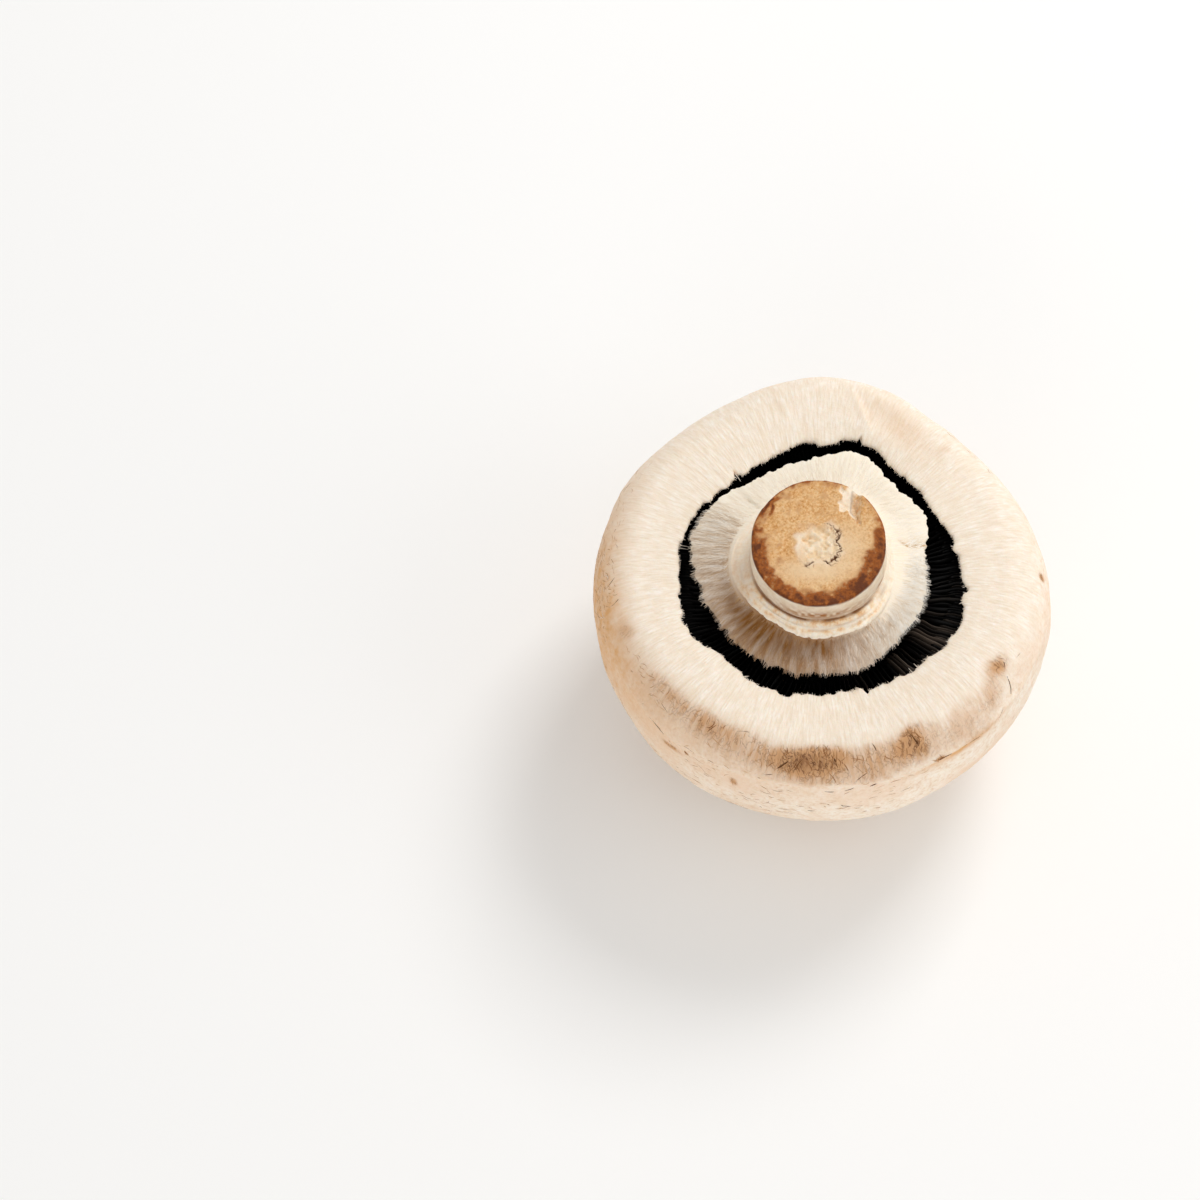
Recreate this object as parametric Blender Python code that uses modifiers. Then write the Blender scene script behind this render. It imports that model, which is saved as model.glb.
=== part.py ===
"""A button mushroom, picked and lying on the crown of its cap, with the gills and the cut stem up.

It is four solids about one growth axis, +Z: the cap with its rolled-in margin, the dark ring of gills in
the cap's chamber, the cut stem seated in the cap, and the skirt of torn veil round the stem. The origin is
where the crown rests. Radii are measured from the growth axis, and azimuth 0 is +X.
"""

import bpy
import numpy as np

MM = 0.001
TURN = 2 * np.pi
GAP = 0.3 * MM

# Cap: a full dome below its widest circle and a fat rolled margin above it
CAP_RADIUS = 30.0 * MM
WIDEST_Z = 24.8 * MM
CROWN_FLAT_RADIUS = 5.0 * MM
DOME_FULLNESS = 2.3
SHOULDER_FULLNESS = 2.2
MARGIN_TOP_RADIUS = 23.4 * MM
MARGIN_TOP_Z = 33.6 * MM
LIP_RADIUS = 18.2 * MM
LIP_THICKNESS = 0.8 * MM
CAP_STEPS = 80

# Widest outline of the cap, every 15 degrees from azimuth 0
CAP_OUTLINE = np.array([
    29.6, 29.3, 29.1, 28.6, 29.3, 30.8, 31.6, 31.0, 30.3, 30.5, 30.6, 30.4,
    30.4, 30.4, 30.2, 30.1, 29.9, 29.8, 29.7, 29.8, 29.7, 29.7, 29.6, 29.8,
]) * MM

# Where the veil tore, every 15 degrees: the cap keeps one edge and the stem the other
MARGIN_EDGE = np.array([
    17.9, 17.4, 17.0, 17.1, 17.8, 18.9, 18.2, 17.7, 17.2, 17.4, 18.1, 18.6,
    18.2, 18.7, 19.0, 18.2, 18.5, 18.5, 18.1, 18.0, 18.5, 18.9, 19.4, 19.0,
]) * MM
SKIRT_EDGE = np.array([
    13.9, 14.5, 15.9, 15.7, 16.5, 17.8, 16.6, 16.1, 16.0, 16.6, 17.3, 17.6,
    16.5, 15.8, 15.2, 15.5, 15.3, 15.3, 15.1, 15.4, 15.1, 14.6, 14.4, 14.4,
]) * MM
RAGGED = 0.25 * MM
TEAR_SEED = 7

# Chamber under the veil: radius and height of its wall, from the stem's socket out to the lip
CEILING = np.array([(9.6, 21.0), (13.0, 20.8), (17.5, 21.2), (21.6, 22.6), (24.2, 25.2)]) * MM
CHAMBER_WALL = np.array([(24.7, 28.0), (23.6, 30.6), (21.0, 32.1)]) * MM

# Gills: blades on a thin ring that follows the ceiling, every other one short
GILLS = 72
GILL_BED_THICKNESS = 0.8 * MM
GILL_RADIUS = np.array([10.3, 11.6, 14.0, 17.5, 21.0, 23.3]) * MM
GILL_EDGE_Z = np.array([21.9, 26.6, 28.7, 29.3, 29.2, 27.9]) * MM
SHORT_GILL_START = 16.0 * MM
GILL_ROOT_HALF = 0.42 * MM
GILL_EDGE_HALF = 0.30 * MM

# Stem: cut square below the ring, with a pith hollow and one chipped corner in the cut face
STEM_RADIUS = 9.0 * MM
CUT_RADIUS = 8.7 * MM
CUT_Z = 40.4 * MM
SEAT_Z = 18.0 * MM
GROOVE_Z = 35.9 * MM
PITH_RADIUS = 2.6 * MM
PITH_DEPTH = 0.7 * MM
CHIP_AZIMUTH = np.radians(50)
CHIP_HALF_WIDTH = np.radians(22)
CHIP_LENGTH = 2.8 * MM
CHIP_DEPTH = 1.7 * MM
STEM_STEPS = 60

# Skirt: a thin collar that hugs the stem, and the veil that spreads from under it
COLLAR_RADIUS = 10.9 * MM
COLLAR_Z = 34.9 * MM
SKIRT_RADIUS = 15.6 * MM
SKIRT_Z = 33.3 * MM
PLEAT = 0.15 * MM
SKIRT_STEPS = 120

# The whole mushroom grew a little out of true
MARGIN_WAVE = 0.4 * MM
STEM_LEAN = np.array([-0.5, -0.15]) * MM
CREASE_AZIMUTH = np.radians(77)
CREASE_HALF_WIDTH = np.radians(9)
CREASE_DEPTH = 0.6 * MM


def ease(low, high, x):
    """0 below low, 1 above high, and a smooth step between."""
    t = np.clip((x - low) / (high - low), 0, 1)
    return t * t * (3 - 2 * t)


def around(values, azimuth):
    """A smooth closed curve through values spaced evenly round the axis (Catmull-Rom)."""
    count = len(values)
    place = azimuth % TURN / TURN * count
    first = np.floor(place).astype(int)
    t = place - first
    a, b, c, d = (values[(first + k) % count] for k in (-1, 0, 1, 2))
    return b + 0.5 * t * (c - a + t * (2 * a - 5 * b + 4 * c - d + t * (3 * (b - c) + d - a)))


def superellipse(centre, half_width, half_height, fullness, angles):
    """Points of |x/a|^n + |z/b|^n = 1; angle 0 is at the axis end and 90 degrees at the widest."""
    x = half_width * np.sin(angles) ** (2 / fullness)
    z = half_height * np.cos(angles) ** (2 / fullness)
    return np.column_stack([centre[0] + x, centre[1] + z])


def collection(name):
    made = bpy.data.collections.new(name)
    bpy.context.scene.collection.children.link(made)
    return made


def material(name, colour, roughness):
    made = bpy.data.materials.new(name)
    made.use_nodes = True
    shader = made.node_tree.nodes["Principled BSDF"]
    shader.inputs["Base Color"].default_value = (*colour, 1)
    shader.inputs["Roughness"].default_value = roughness
    shader.inputs["Metallic"].default_value = 0
    return made


def turned(name, profile, steps, closed, group):
    """The profile of (radius, height) turned once round +Z by a Screw modifier, as a plain mesh object."""
    count = len(profile)
    edges = [(i, (i + 1) % count) for i in range(count if closed else count - 1)]
    line = bpy.data.meshes.new(name + "_profile")
    line.from_pydata([(r, 0, z) for r, z in profile], edges, [])
    guide = bpy.data.objects.new(name + "_profile", line)
    group.objects.link(guide)
    screw = guide.modifiers.new("Turn", "SCREW")
    screw.steps = screw.render_steps = steps
    screw.use_merge_vertices = True
    screw.merge_threshold = 0.00001
    bpy.context.view_layer.update()
    graph = bpy.context.evaluated_depsgraph_get()
    mesh = bpy.data.meshes.new_from_object(guide.evaluated_get(graph))
    bpy.data.objects.remove(guide)
    solid = bpy.data.objects.new(name, mesh)
    group.objects.link(solid)
    return solid


def polar(solid):
    """Radius, azimuth and height of every point."""
    flat = np.empty(len(solid.data.vertices) * 3, np.float32)
    solid.data.vertices.foreach_get("co", flat)
    x, y, z = flat.reshape(-1, 3).astype(float).T
    return np.hypot(x, y), np.arctan2(y, x) % TURN, z


def grown(radius, azimuth, z):
    """Where the real growth puts a point of the true turned form: uneven girth, wavy margin, leaning stem."""
    girth = around(CAP_OUTLINE, azimuth) / CAP_RADIUS
    radius = radius * (1 + (girth - 1) * ease(14 * MM, 28 * MM, radius))
    high = ease(20 * MM, 33 * MM, z)
    z = z + MARGIN_WAVE * np.sin(3 * azimuth + np.pi) * high * ease(12 * MM, 20 * MM, radius)
    lean = ease(20 * MM, CUT_Z, z) * (1 - ease(12 * MM, 24 * MM, radius))
    x = radius * np.cos(azimuth) + STEM_LEAN[0] * lean
    y = radius * np.sin(azimuth) + STEM_LEAN[1] * lean
    return np.column_stack([x, y, z])


def off(azimuth, centre):
    """Angle away from a centre line, the short way round."""
    return np.abs((azimuth - centre + np.pi) % TURN - np.pi)


def settle(solid, radius, azimuth, z, finish):
    """Moves the points to their grown places, gives the solid its material and shades it smooth."""
    points = grown(radius, azimuth, z).astype(np.float32)
    solid.data.vertices.foreach_set("co", points.ravel())
    solid.data.update()
    solid.data.materials.append(finish)
    solid.data.shade_smooth()
    solid.data.set_sharp_from_angle(angle=np.radians(50))


def torn(azimuth, steps, seed):
    """One random pull for each step round the axis, from -1 to 1."""
    pulls = np.random.default_rng(seed).uniform(-1, 1, steps)
    return pulls[np.round(azimuth / TURN * steps).astype(int) % steps]


def cap_profile():
    """From the bottom of the stem's socket, out along the chamber, round the margin and down the dome."""
    socket_floor = SEAT_Z - GAP
    socket = np.array([(0, socket_floor), (CEILING[0][0], socket_floor)])
    lip = np.array([
        (LIP_RADIUS + 0.4 * MM, MARGIN_TOP_Z - 0.4 * MM - LIP_THICKNESS),
        (LIP_RADIUS, MARGIN_TOP_Z - 0.7 * MM),
        (LIP_RADIUS + 0.5 * MM, MARGIN_TOP_Z - 0.3 * MM),
        (LIP_RADIUS + 2.6 * MM, MARGIN_TOP_Z),
    ])
    shoulder = superellipse(
        (MARGIN_TOP_RADIUS, WIDEST_Z), CAP_RADIUS - MARGIN_TOP_RADIUS, MARGIN_TOP_Z - WIDEST_Z,
        SHOULDER_FULLNESS, np.radians([0, 22, 40, 56, 70, 82]),
    )
    dome = superellipse(
        (0, WIDEST_Z), CAP_RADIUS, -WIDEST_Z,
        DOME_FULLNESS, np.radians([90, 80, 71, 62, 53, 44, 35, 26, 17]),
    )
    crown = np.array([(CROWN_FLAT_RADIUS, 0), (0, 0)])
    return np.vstack([socket, CEILING, CHAMBER_WALL, lip, shoulder, dome, crown])


def cap(group):
    solid = turned("cap", cap_profile(), CAP_STEPS, False, group)
    radius, azimuth, z = polar(solid)
    near_lip = (1 - ease(LIP_RADIUS, MARGIN_TOP_RADIUS, radius)) * (z > 30 * MM)
    at_tear = (1 - ease(LIP_RADIUS, LIP_RADIUS + MM, radius)) * (z > 30 * MM)
    radius = radius + near_lip * (around(MARGIN_EDGE, azimuth) - LIP_RADIUS)
    radius = radius + at_tear * RAGGED * torn(azimuth, CAP_STEPS, TEAR_SEED)
    creased = (1 - ease(0, CREASE_HALF_WIDTH, off(azimuth, CREASE_AZIMUTH))) * (z > MARGIN_TOP_Z - 0.4 * MM)
    z = z - CREASE_DEPTH * creased
    settle(solid, radius, azimuth, z, material("Mushroom skin", (0.80, 0.62, 0.46), 0.6))


def gill_bed_z(radius):
    """Height of the bed's free side, where the blades rise."""
    ceiling = np.interp(radius, CEILING[:, 0], CEILING[:, 1])
    return ceiling + GAP + GILL_BED_THICKNESS


def gills(group):
    """Every step of the turn is one corner of a blade's cross-section: root, edge, edge, root."""
    bed_top = np.column_stack([GILL_RADIUS, gill_bed_z(GILL_RADIUS)])
    under_radius = GILL_RADIUS[[5, 4, 2, 0]]
    under = np.column_stack([under_radius, gill_bed_z(under_radius) - GILL_BED_THICKNESS])
    solid = turned("gills", np.vstack([bed_top, under]), GILLS * 4, True, group)
    radius, azimuth, z = polar(solid)
    corner = np.round(azimuth / TURN * GILLS * 4).astype(int) % (GILLS * 4)
    blade, place = corner // 4, corner % 4
    at_edge = (place == 1) | (place == 2)
    on_bed = z > gill_bed_z(radius) - 0.1 * MM
    reaches = (blade % 2 == 0) | (radius > SHORT_GILL_START)
    edge_z = np.interp(radius, GILL_RADIUS, GILL_EDGE_Z)
    z = np.where(on_bed & at_edge & reaches, edge_z, z)
    widest = 0.4 * TURN * radius / GILLS
    half = np.minimum(np.where(at_edge, GILL_EDGE_HALF, GILL_ROOT_HALF), widest)
    azimuth = (blade + 0.5) / GILLS * TURN + np.where(place < 2, -1, 1) * half / radius
    settle(solid, radius, azimuth, z, material("Ripe gills", (0.03, 0.018, 0.012), 0.8))


def stem_profile():
    """From the pith in the cut face, out over the cut's edge and down to the seat in the cap."""
    return np.array([
        (0, CUT_Z - PITH_DEPTH),
        (PITH_RADIUS * 0.7, CUT_Z - PITH_DEPTH),
        (PITH_RADIUS, CUT_Z - 0.1 * MM),
        (CUT_RADIUS - 2.6 * MM, CUT_Z),
        (CUT_RADIUS - 1.0 * MM, CUT_Z),
        (CUT_RADIUS - 0.3 * MM, CUT_Z - 0.2 * MM),
        (CUT_RADIUS, CUT_Z - 0.9 * MM),
        (CUT_RADIUS + 0.1 * MM, GROOVE_Z + 1.2 * MM),
        (CUT_RADIUS - 0.2 * MM, GROOVE_Z),
        (STEM_RADIUS, GROOVE_Z - 0.8 * MM),
        (STEM_RADIUS, 30 * MM),
        (STEM_RADIUS, 22 * MM),
        (STEM_RADIUS + GAP, SEAT_Z + 0.6 * MM),
        (STEM_RADIUS, SEAT_Z),
        (0, SEAT_Z),
    ])


def stem(group):
    solid = turned("stem", stem_profile(), STEM_STEPS, False, group)
    radius, azimuth, z = polar(solid)
    into_chip = 1 - ease(CHIP_HALF_WIDTH * 0.5, CHIP_HALF_WIDTH, off(azimuth, CHIP_AZIMUTH))
    slope = np.clip((radius - CUT_RADIUS + CHIP_LENGTH) / CHIP_LENGTH, 0, 1)
    z = np.where(z > CUT_Z - MM, np.minimum(z, CUT_Z - CHIP_DEPTH * into_chip * slope), z)
    settle(solid, radius, azimuth, z, material("Stem flesh", (0.78, 0.62, 0.44), 0.65))


def skirt_profile():
    """Up the collar's inner side, over its edge, out along the veil's free face and back beneath it."""
    inner = STEM_RADIUS + GAP
    return np.array([
        (inner + 0.2 * MM, 31.4 * MM),
        (inner, 33.4 * MM),
        (inner, COLLAR_Z),
        (inner + 0.5 * MM, COLLAR_Z + 0.1 * MM),
        (COLLAR_RADIUS, COLLAR_Z - 0.9 * MM),
        (COLLAR_RADIUS, COLLAR_Z - 1.4 * MM),
        (COLLAR_RADIUS - 0.2 * MM, SKIRT_Z - 0.4 * MM),
        (COLLAR_RADIUS + 1.4 * MM, SKIRT_Z - 0.1 * MM),
        (COLLAR_RADIUS + 3.2 * MM, SKIRT_Z),
        (SKIRT_RADIUS, SKIRT_Z - 0.2 * MM),
        (SKIRT_RADIUS - 0.1 * MM, SKIRT_Z - 0.8 * MM),
        (COLLAR_RADIUS + 1.8 * MM, SKIRT_Z - 1.4 * MM),
    ])


def veil_skirt(group):
    solid = turned("veil_skirt", skirt_profile(), SKIRT_STEPS, True, group)
    radius, azimuth, z = polar(solid)
    outward = ease(COLLAR_RADIUS + 0.5 * MM, SKIRT_RADIUS, radius)
    step = np.round(azimuth / TURN * SKIRT_STEPS).astype(int)
    radius = radius + outward * (around(SKIRT_EDGE, azimuth) - SKIRT_RADIUS)
    radius = radius + (outward > 0.9) * RAGGED * torn(azimuth, SKIRT_STEPS, TEAR_SEED + 1)
    z = z + outward * PLEAT * np.where(step % 2 == 0, 1, -1)
    settle(solid, radius, azimuth, z, material("Torn veil", (0.83, 0.72, 0.56), 0.8))


def main():
    for old in list(bpy.data.objects):
        bpy.data.objects.remove(old)
    bpy.context.scene.unit_settings.system = "METRIC"
    mushroom = collection("Button mushroom")
    cap(mushroom)
    gills(mushroom)
    stem(mushroom)
    veil_skirt(mushroom)


main()
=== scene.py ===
# %% [markdown]
# # A picked button mushroom, lying on its cap
#
# A plain solid model of the mushroom is loaded as a fixed frame, and this notebook gives it the surface
# that the real one shows: the fibrous cream margin with its torn edge, the bruised shoulder, the black
# gills, the combed skirt of veil and the drying cut face of the stem. Nothing is sculpted by hand. Every
# surface is a formula of two parameters, the azimuth round the growth axis and the distance travelled along
# a profile, worked out with numpy for all its points at once. Lengths are in millimetres until a mesh is
# made from them.

# %% Load the frame
import bpy
import numpy as np
from mathutils import Matrix, Vector


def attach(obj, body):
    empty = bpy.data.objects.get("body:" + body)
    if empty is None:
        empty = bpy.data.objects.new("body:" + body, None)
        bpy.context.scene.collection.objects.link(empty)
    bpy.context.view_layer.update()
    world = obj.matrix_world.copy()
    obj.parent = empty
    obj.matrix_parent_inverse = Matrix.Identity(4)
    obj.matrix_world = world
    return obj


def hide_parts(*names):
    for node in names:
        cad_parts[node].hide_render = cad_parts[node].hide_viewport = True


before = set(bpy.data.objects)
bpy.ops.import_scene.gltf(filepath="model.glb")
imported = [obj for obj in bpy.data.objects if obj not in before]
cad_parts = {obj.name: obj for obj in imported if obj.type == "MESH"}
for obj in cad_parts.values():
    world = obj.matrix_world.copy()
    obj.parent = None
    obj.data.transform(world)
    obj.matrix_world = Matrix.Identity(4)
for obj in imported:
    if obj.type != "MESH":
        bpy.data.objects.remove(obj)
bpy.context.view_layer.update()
MM = 0.001
TURN = 2 * np.pi

# %% [markdown]
# ## Shaping functions
#
# A natural form is a true turned form plus irregularity on several scales. Small functions give most of it:
# a smooth step, a hill, a closed curve through values spaced round the axis, and a random field in space.
# The field is value noise, which is random numbers on a cubic lattice with smooth blending between them.
# Noise sampled in space has no seam where the azimuth wraps round, which noise on a flat map would have.

# %% Smooth steps, closed curves and random fields
LATTICE = 32


def ease(low, high, x):
    """0 below low, 1 above high, and a smooth step between."""
    t = np.clip((x - low) / (high - low), 0, 1)
    return t * t * (3 - 2 * t)


def hill(centre, half, x):
    """1 at the centre and falling off on both sides as a Gaussian, down to 1/e at the half width."""
    return np.exp(-(((x - centre) / half) ** 2))


def off(azimuth, centre):
    """Signed angle from a centre line, the short way round; both in radians."""
    return (azimuth - centre + np.pi) % TURN - np.pi


def facing(azimuth, towards, half):
    """A hill round the axis: 1 towards an azimuth and 1/e at the half width from it, both in degrees."""
    return hill(0, np.radians(half), off(azimuth, np.radians(towards)))


def within(azimuth, towards, inner, outer):
    """1 within the inner angle of an azimuth, 0 beyond the outer one, smooth between; all in degrees."""
    return 1 - ease(np.radians(inner), np.radians(outer), np.abs(off(azimuth, np.radians(towards))))


def around(values, azimuth):
    """A smooth closed curve through values spaced evenly round the axis (Catmull-Rom)."""
    count = len(values)
    place = azimuth % TURN / TURN * count
    first = np.floor(place).astype(int)
    t = place - first
    a, b, c, d = (values[(first + k) % count] for k in (-1, 0, 1, 2))
    return b + 0.5 * t * (c - a + t * (2 * a - 5 * b + 4 * c - d + t * (3 * (b - c) + d - a)))


def cloud(points, spacing, seed):
    """Random field from -1 to 1: random values on a cubic lattice, with smooth steps between them."""
    lattice = np.random.default_rng(seed).uniform(-1, 1, (LATTICE, LATTICE, LATTICE))
    cell, t = np.divmod(points / spacing, 1)
    cell = cell.astype(int)
    t = t * t * (3 - 2 * t)
    total = 0
    for corner in np.ndindex(2, 2, 2):
        i, j, k = np.moveaxis((cell + corner) % LATTICE, -1, 0)
        total = total + np.where(corner, t, 1 - t).prod(-1) * lattice[i, j, k]
    return total


def spun(azimuth, travel, spacing, length, girth):
    """Coordinates for fibres that run outwards, with no seam: a circle of the girth's radius, counted in
    fibre spacings, and the distance travelled outwards, counted in fibre lengths."""
    turns = girth / spacing
    return np.stack([turns * np.cos(azimuth), turns * np.sin(azimuth), travel / length], -1)


def streaks(azimuth, travel, spacing, length, girth, seed):
    """Random field from -1 to 1, drawn out along the fibres."""
    return cloud(spun(azimuth, travel, spacing, length, girth), 1, seed)


def jagged(azimuth, spacing, girth, seed):
    """Random curve round the axis from -1 to 1, the same at every distance from it."""
    return streaks(azimuth, 0 * azimuth, spacing, 1, girth, seed)


# %% [markdown]
# ## The measured form
#
# These are the same driving dimensions that the solids were made from: a cap 60 mm across, whose dome and
# shoulder are superellipses, with a fat margin that ends in a torn lip. Real growth is uneven, so one
# function moves every point from the true turned form to its grown place. Using it for all the pieces keeps
# them fitted to each other and to the solids.

# %% Dimensions and growth
CAP_RADIUS = 30.0
WIDEST_Z = 24.8
CROWN_FLAT_RADIUS = 5.0
DOME_FULLNESS = 2.3
SHOULDER_FULLNESS = 2.2
MARGIN_TOP_RADIUS = 23.4
MARGIN_TOP_Z = 33.6
LIP_RADIUS = 18.2
STEM_RADIUS = 9.0
CUT_RADIUS = 8.7
CUT_Z = 40.4
SEAT_Z = 18.0
GROOVE_Z = 35.9
SKIRT_RADIUS = 15.6
CAP_MIDDLE = (0, 0, 18.0)
MARGIN_WAVE = 0.4
STEM_LEAN = (-0.5, -0.15)

# Radii at which the fibres of each part are counted
MARGIN_GIRTH = 22
LIP_GIRTH = 18
SKIRT_GIRTH = 15
FUR_GIRTH = 14
PLEAT_GIRTH = 13
EDGE_GIRTH = 11
COLLAR_GIRTH = 10
STEM_GIRTH = 9

# Every 15 degrees from azimuth 0: the widest outline, the two edges that the torn veil left and the collar
CAP_OUTLINE = np.array([
    29.6, 29.3, 29.1, 28.6, 29.3, 30.8, 31.6, 31.0, 30.3, 30.5, 30.6, 30.4,
    30.4, 30.4, 30.2, 30.1, 29.9, 29.8, 29.7, 29.8, 29.7, 29.7, 29.6, 29.8,
])
MARGIN_EDGE = np.array([
    17.9, 17.4, 17.0, 17.1, 17.8, 18.9, 18.2, 17.7, 17.2, 17.4, 18.1, 18.6,
    18.2, 18.7, 19.0, 18.2, 18.5, 18.5, 18.1, 18.0, 18.5, 18.9, 19.4, 19.0,
])
SKIRT_EDGE = np.array([
    13.9, 14.5, 15.9, 15.7, 16.5, 17.8, 16.6, 16.1, 16.0, 16.6, 17.3, 17.6,
    16.5, 15.8, 15.2, 15.5, 15.3, 15.3, 15.1, 15.4, 15.1, 14.6, 14.4, 14.4,
])
COLLAR_EDGE = np.array([
    9.6, 9.6, 10.2, 10.5, 10.5, 10.5, 10.5, 10.5, 10.5, 10.7, 11.0, 11.3,
    11.4, 11.2, 10.8, 10.5, 10.5, 10.8, 10.9, 10.7, 10.8, 10.7, 10.2, 9.8,
])


def grown(radius, azimuth, z):
    """Where growth puts a point of the true form: uneven girth, wavy margin and leaning stem. Each dies away
    towards the parts that it leaves alone."""
    girth = around(CAP_OUTLINE, azimuth) / CAP_RADIUS
    radius = radius * (1 + (girth - 1) * ease(14, 28, radius))
    z = z + MARGIN_WAVE * np.sin(3 * azimuth + np.pi) * ease(20, 33, z) * ease(12, 20, radius)
    lean = ease(20, CUT_Z, z) * (1 - ease(12, 24, radius))
    x = radius * np.cos(azimuth) + STEM_LEAN[0] * lean
    y = radius * np.sin(azimuth) + STEM_LEAN[1] * lean
    return np.stack([x, y, z], -1)


print("the cap is", 2 * CAP_RADIUS, "mm across and its cut stem", 2 * CUT_RADIUS, "mm")

# %% [markdown]
# ## From grids of points to meshes
#
# Two builders make every grown mesh. The first wraps a grid of points round the axis, and closes it with a
# pole at each end or, for a ring, by joining its last row to its first. The second skins thousands of thin
# tubes in one go, for fibres and gill blades. Both carry extra values for each point, which the materials
# read by name.

# %% Mesh builders
def mesh_of(name, points, faces, fields):
    """A mesh from points in millimetres, its faces, and named values or vectors for each point."""
    mesh = bpy.data.meshes.new(name)
    mesh.from_pydata(points * MM, [], faces)
    for field, values in fields.items():
        single = values.ndim == 1
        store = mesh.attributes.new(field, "FLOAT" if single else "FLOAT_VECTOR", "POINT")
        store.data.foreach_set("value" if single else "vector", values.ravel().astype(np.float32))
    mesh.update()
    return mesh


def wrapped(name, grid, fields, ring=False):
    """Skins a grid of rows by azimuth columns. Rows run outwards, then down the outer side."""
    rows, columns = grid.shape[:2]
    index = np.arange(rows * columns).reshape(rows, columns)
    above = index if ring else index[:-1]
    below = np.roll(index, -1, 0) if ring else index[1:]
    quads = np.stack([above, below, np.roll(below, -1, 1), np.roll(above, -1, 1)], -1)
    faces = quads.reshape(-1, 4).tolist()
    flat = {key: values.reshape(rows * columns, *values.shape[2:]) for key, values in fields.items()}
    points = grid.reshape(-1, 3)
    if not ring:
        first, last = rows * columns, rows * columns + 1
        points = np.vstack([points, grid[0].mean(0), grid[-1].mean(0)])
        flat = {key: np.concatenate([flat[key], values[:1].mean(1), values[-1:].mean(1)])
                for key, values in fields.items()}
        ends = ((index[0], first, 0), (index[-1], last, 1))
        for edge, pole, second in ends:
            corners = [edge, np.roll(edge, -1)]
            corners.insert(second, np.full(columns, pole))
            faces += np.stack(corners, -1).tolist()
    return mesh_of(name, points, faces, flat)


def tubes(name, sections, fields):
    """Skins many tubes. Sections hold tube, station and corner, the corners anticlockwise from the tip."""
    count, stations, corners = sections.shape[:3]
    index = np.arange(count * stations * corners).reshape(count, stations, corners)
    here, there = index[:, :-1], index[:, 1:]
    sides = np.stack([here, np.roll(here, -1, 2), np.roll(there, -1, 2), there], -1)
    faces = sides.reshape(-1, 4).tolist() + index[:, 0, ::-1].tolist() + index[:, -1].tolist()
    spread = {key: np.repeat(values.ravel(), corners) for key, values in fields.items()}
    return mesh_of(name, sections.reshape(-1, 3), faces, spread)


def strands(name, line, thickness, fields, up_at=0.25):
    """Three-sided fibres along centre lines of (fibre, station, xyz). One corner is turned outwards, or one
    face when up_at is -0.25."""
    along = np.gradient(line, axis=1)
    along /= np.linalg.norm(along, axis=-1, keepdims=True)
    side = np.cross(along, line - CAP_MIDDLE)
    side /= np.linalg.norm(side, axis=-1, keepdims=True)
    up = np.cross(side, along)
    turn = (np.arange(3) / 3 + up_at) * TURN
    ring = side[..., None, :] * np.cos(turn)[:, None] + up[..., None, :] * np.sin(turn)[:, None]
    return tubes(name, line[..., None, :] + ring[..., ::-1, :] * thickness[..., None, None], fields)


def outward(grid):
    """Unit normals of a wrapped grid: travel down the rows crossed with travel round the axis."""
    round_axis = np.roll(grid, -1, 1) - np.roll(grid, 1, 1)
    normal = np.cross(np.gradient(grid, axis=0), round_axis)
    return normal / np.maximum(np.linalg.norm(normal, axis=-1, keepdims=True), 1e-9)


def on_surface(grid, rows, azimuth, travel):
    """Values of a wrapped grid at any azimuth and distance travelled, from its four nearest points."""
    row = np.interp(travel, rows, np.arange(len(rows)))
    first = np.clip(np.floor(row).astype(int), 0, len(rows) - 2)
    down = (row - first)[..., None]
    columns = grid.shape[1]
    column, part = np.divmod(azimuth % TURN / TURN * columns, 1)
    column = column.astype(int) % columns
    part = part[..., None]
    after = (column + 1) % columns
    upper = grid[first, column] * (1 - part) + grid[first, after] * part
    lower = grid[first + 1, column] * (1 - part) + grid[first + 1, after] * part
    return upper * (1 - down) + lower * down


def show(name, mesh, finish, slot, *nodes):
    """Puts a mesh in the scene as a finished piece that rides on the mushroom."""
    mesh.materials.append(finish)
    mesh.shade_smooth()
    made = bpy.data.objects.new(name, mesh)
    bpy.context.scene.collection.objects.link(made)
    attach(made, "root")
    if nodes:
        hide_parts(*nodes)
    print(name, "has", len(mesh.polygons), "faces")
    return made


# %% [markdown]
# ## Profiles
#
# A profile is a line of radius and height. The superellipse gives a dome that is fuller than a sphere, as a
# cultivated cap is. The line is measured along its length, its corners are rounded by a moving average, and
# it is sampled more closely where the surface has more to show.

# %% Profile tools
PROFILE_STEP = 0.05


def superellipse(centre, half_width, half_height, fullness, degrees):
    """Points of |x/a|^n + |z/b|^n = 1; 0 degrees is at the axis end and 90 degrees at the widest."""
    angle = np.radians(degrees)
    x = half_width * np.sin(angle) ** (2 / fullness)
    z = half_height * np.cos(angle) ** (2 / fullness)
    return np.column_stack([centre[0] + x, centre[1] + z])


def length_along(line):
    """Distance travelled along a line to each of its points."""
    return np.concatenate([[0], np.cumsum(np.hypot(*np.diff(line, axis=0).T))])


def sampled(line, at, rounding, measure=None):
    """The line's radius and height at given distances, after a moving average has rounded its corners. A
    second profile with matching points can be read by the distances of the first, given as its measure."""
    length = length_along(line) if measure is None else measure
    fine = np.arange(0, length[-1] + PROFILE_STEP, PROFILE_STEP)
    half = int(rounding / PROFILE_STEP)
    kernel = np.ones(2 * half + 1) / (2 * half + 1)
    ends = []
    for values in line.T:
        even = np.pad(np.interp(fine, length, values), 2 * half, mode="reflect", reflect_type="odd")
        smooth = np.convolve(np.convolve(even, kernel, "valid"), kernel, "valid")
        ends.append(np.interp(at, fine, smooth))
    return ends


def spaced(bounds, spacings):
    """Distances along a profile, evenly spaced between each bound and the next."""
    return np.concatenate([np.arange(*span) for span in zip(bounds, bounds[1:], spacings)])


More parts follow.
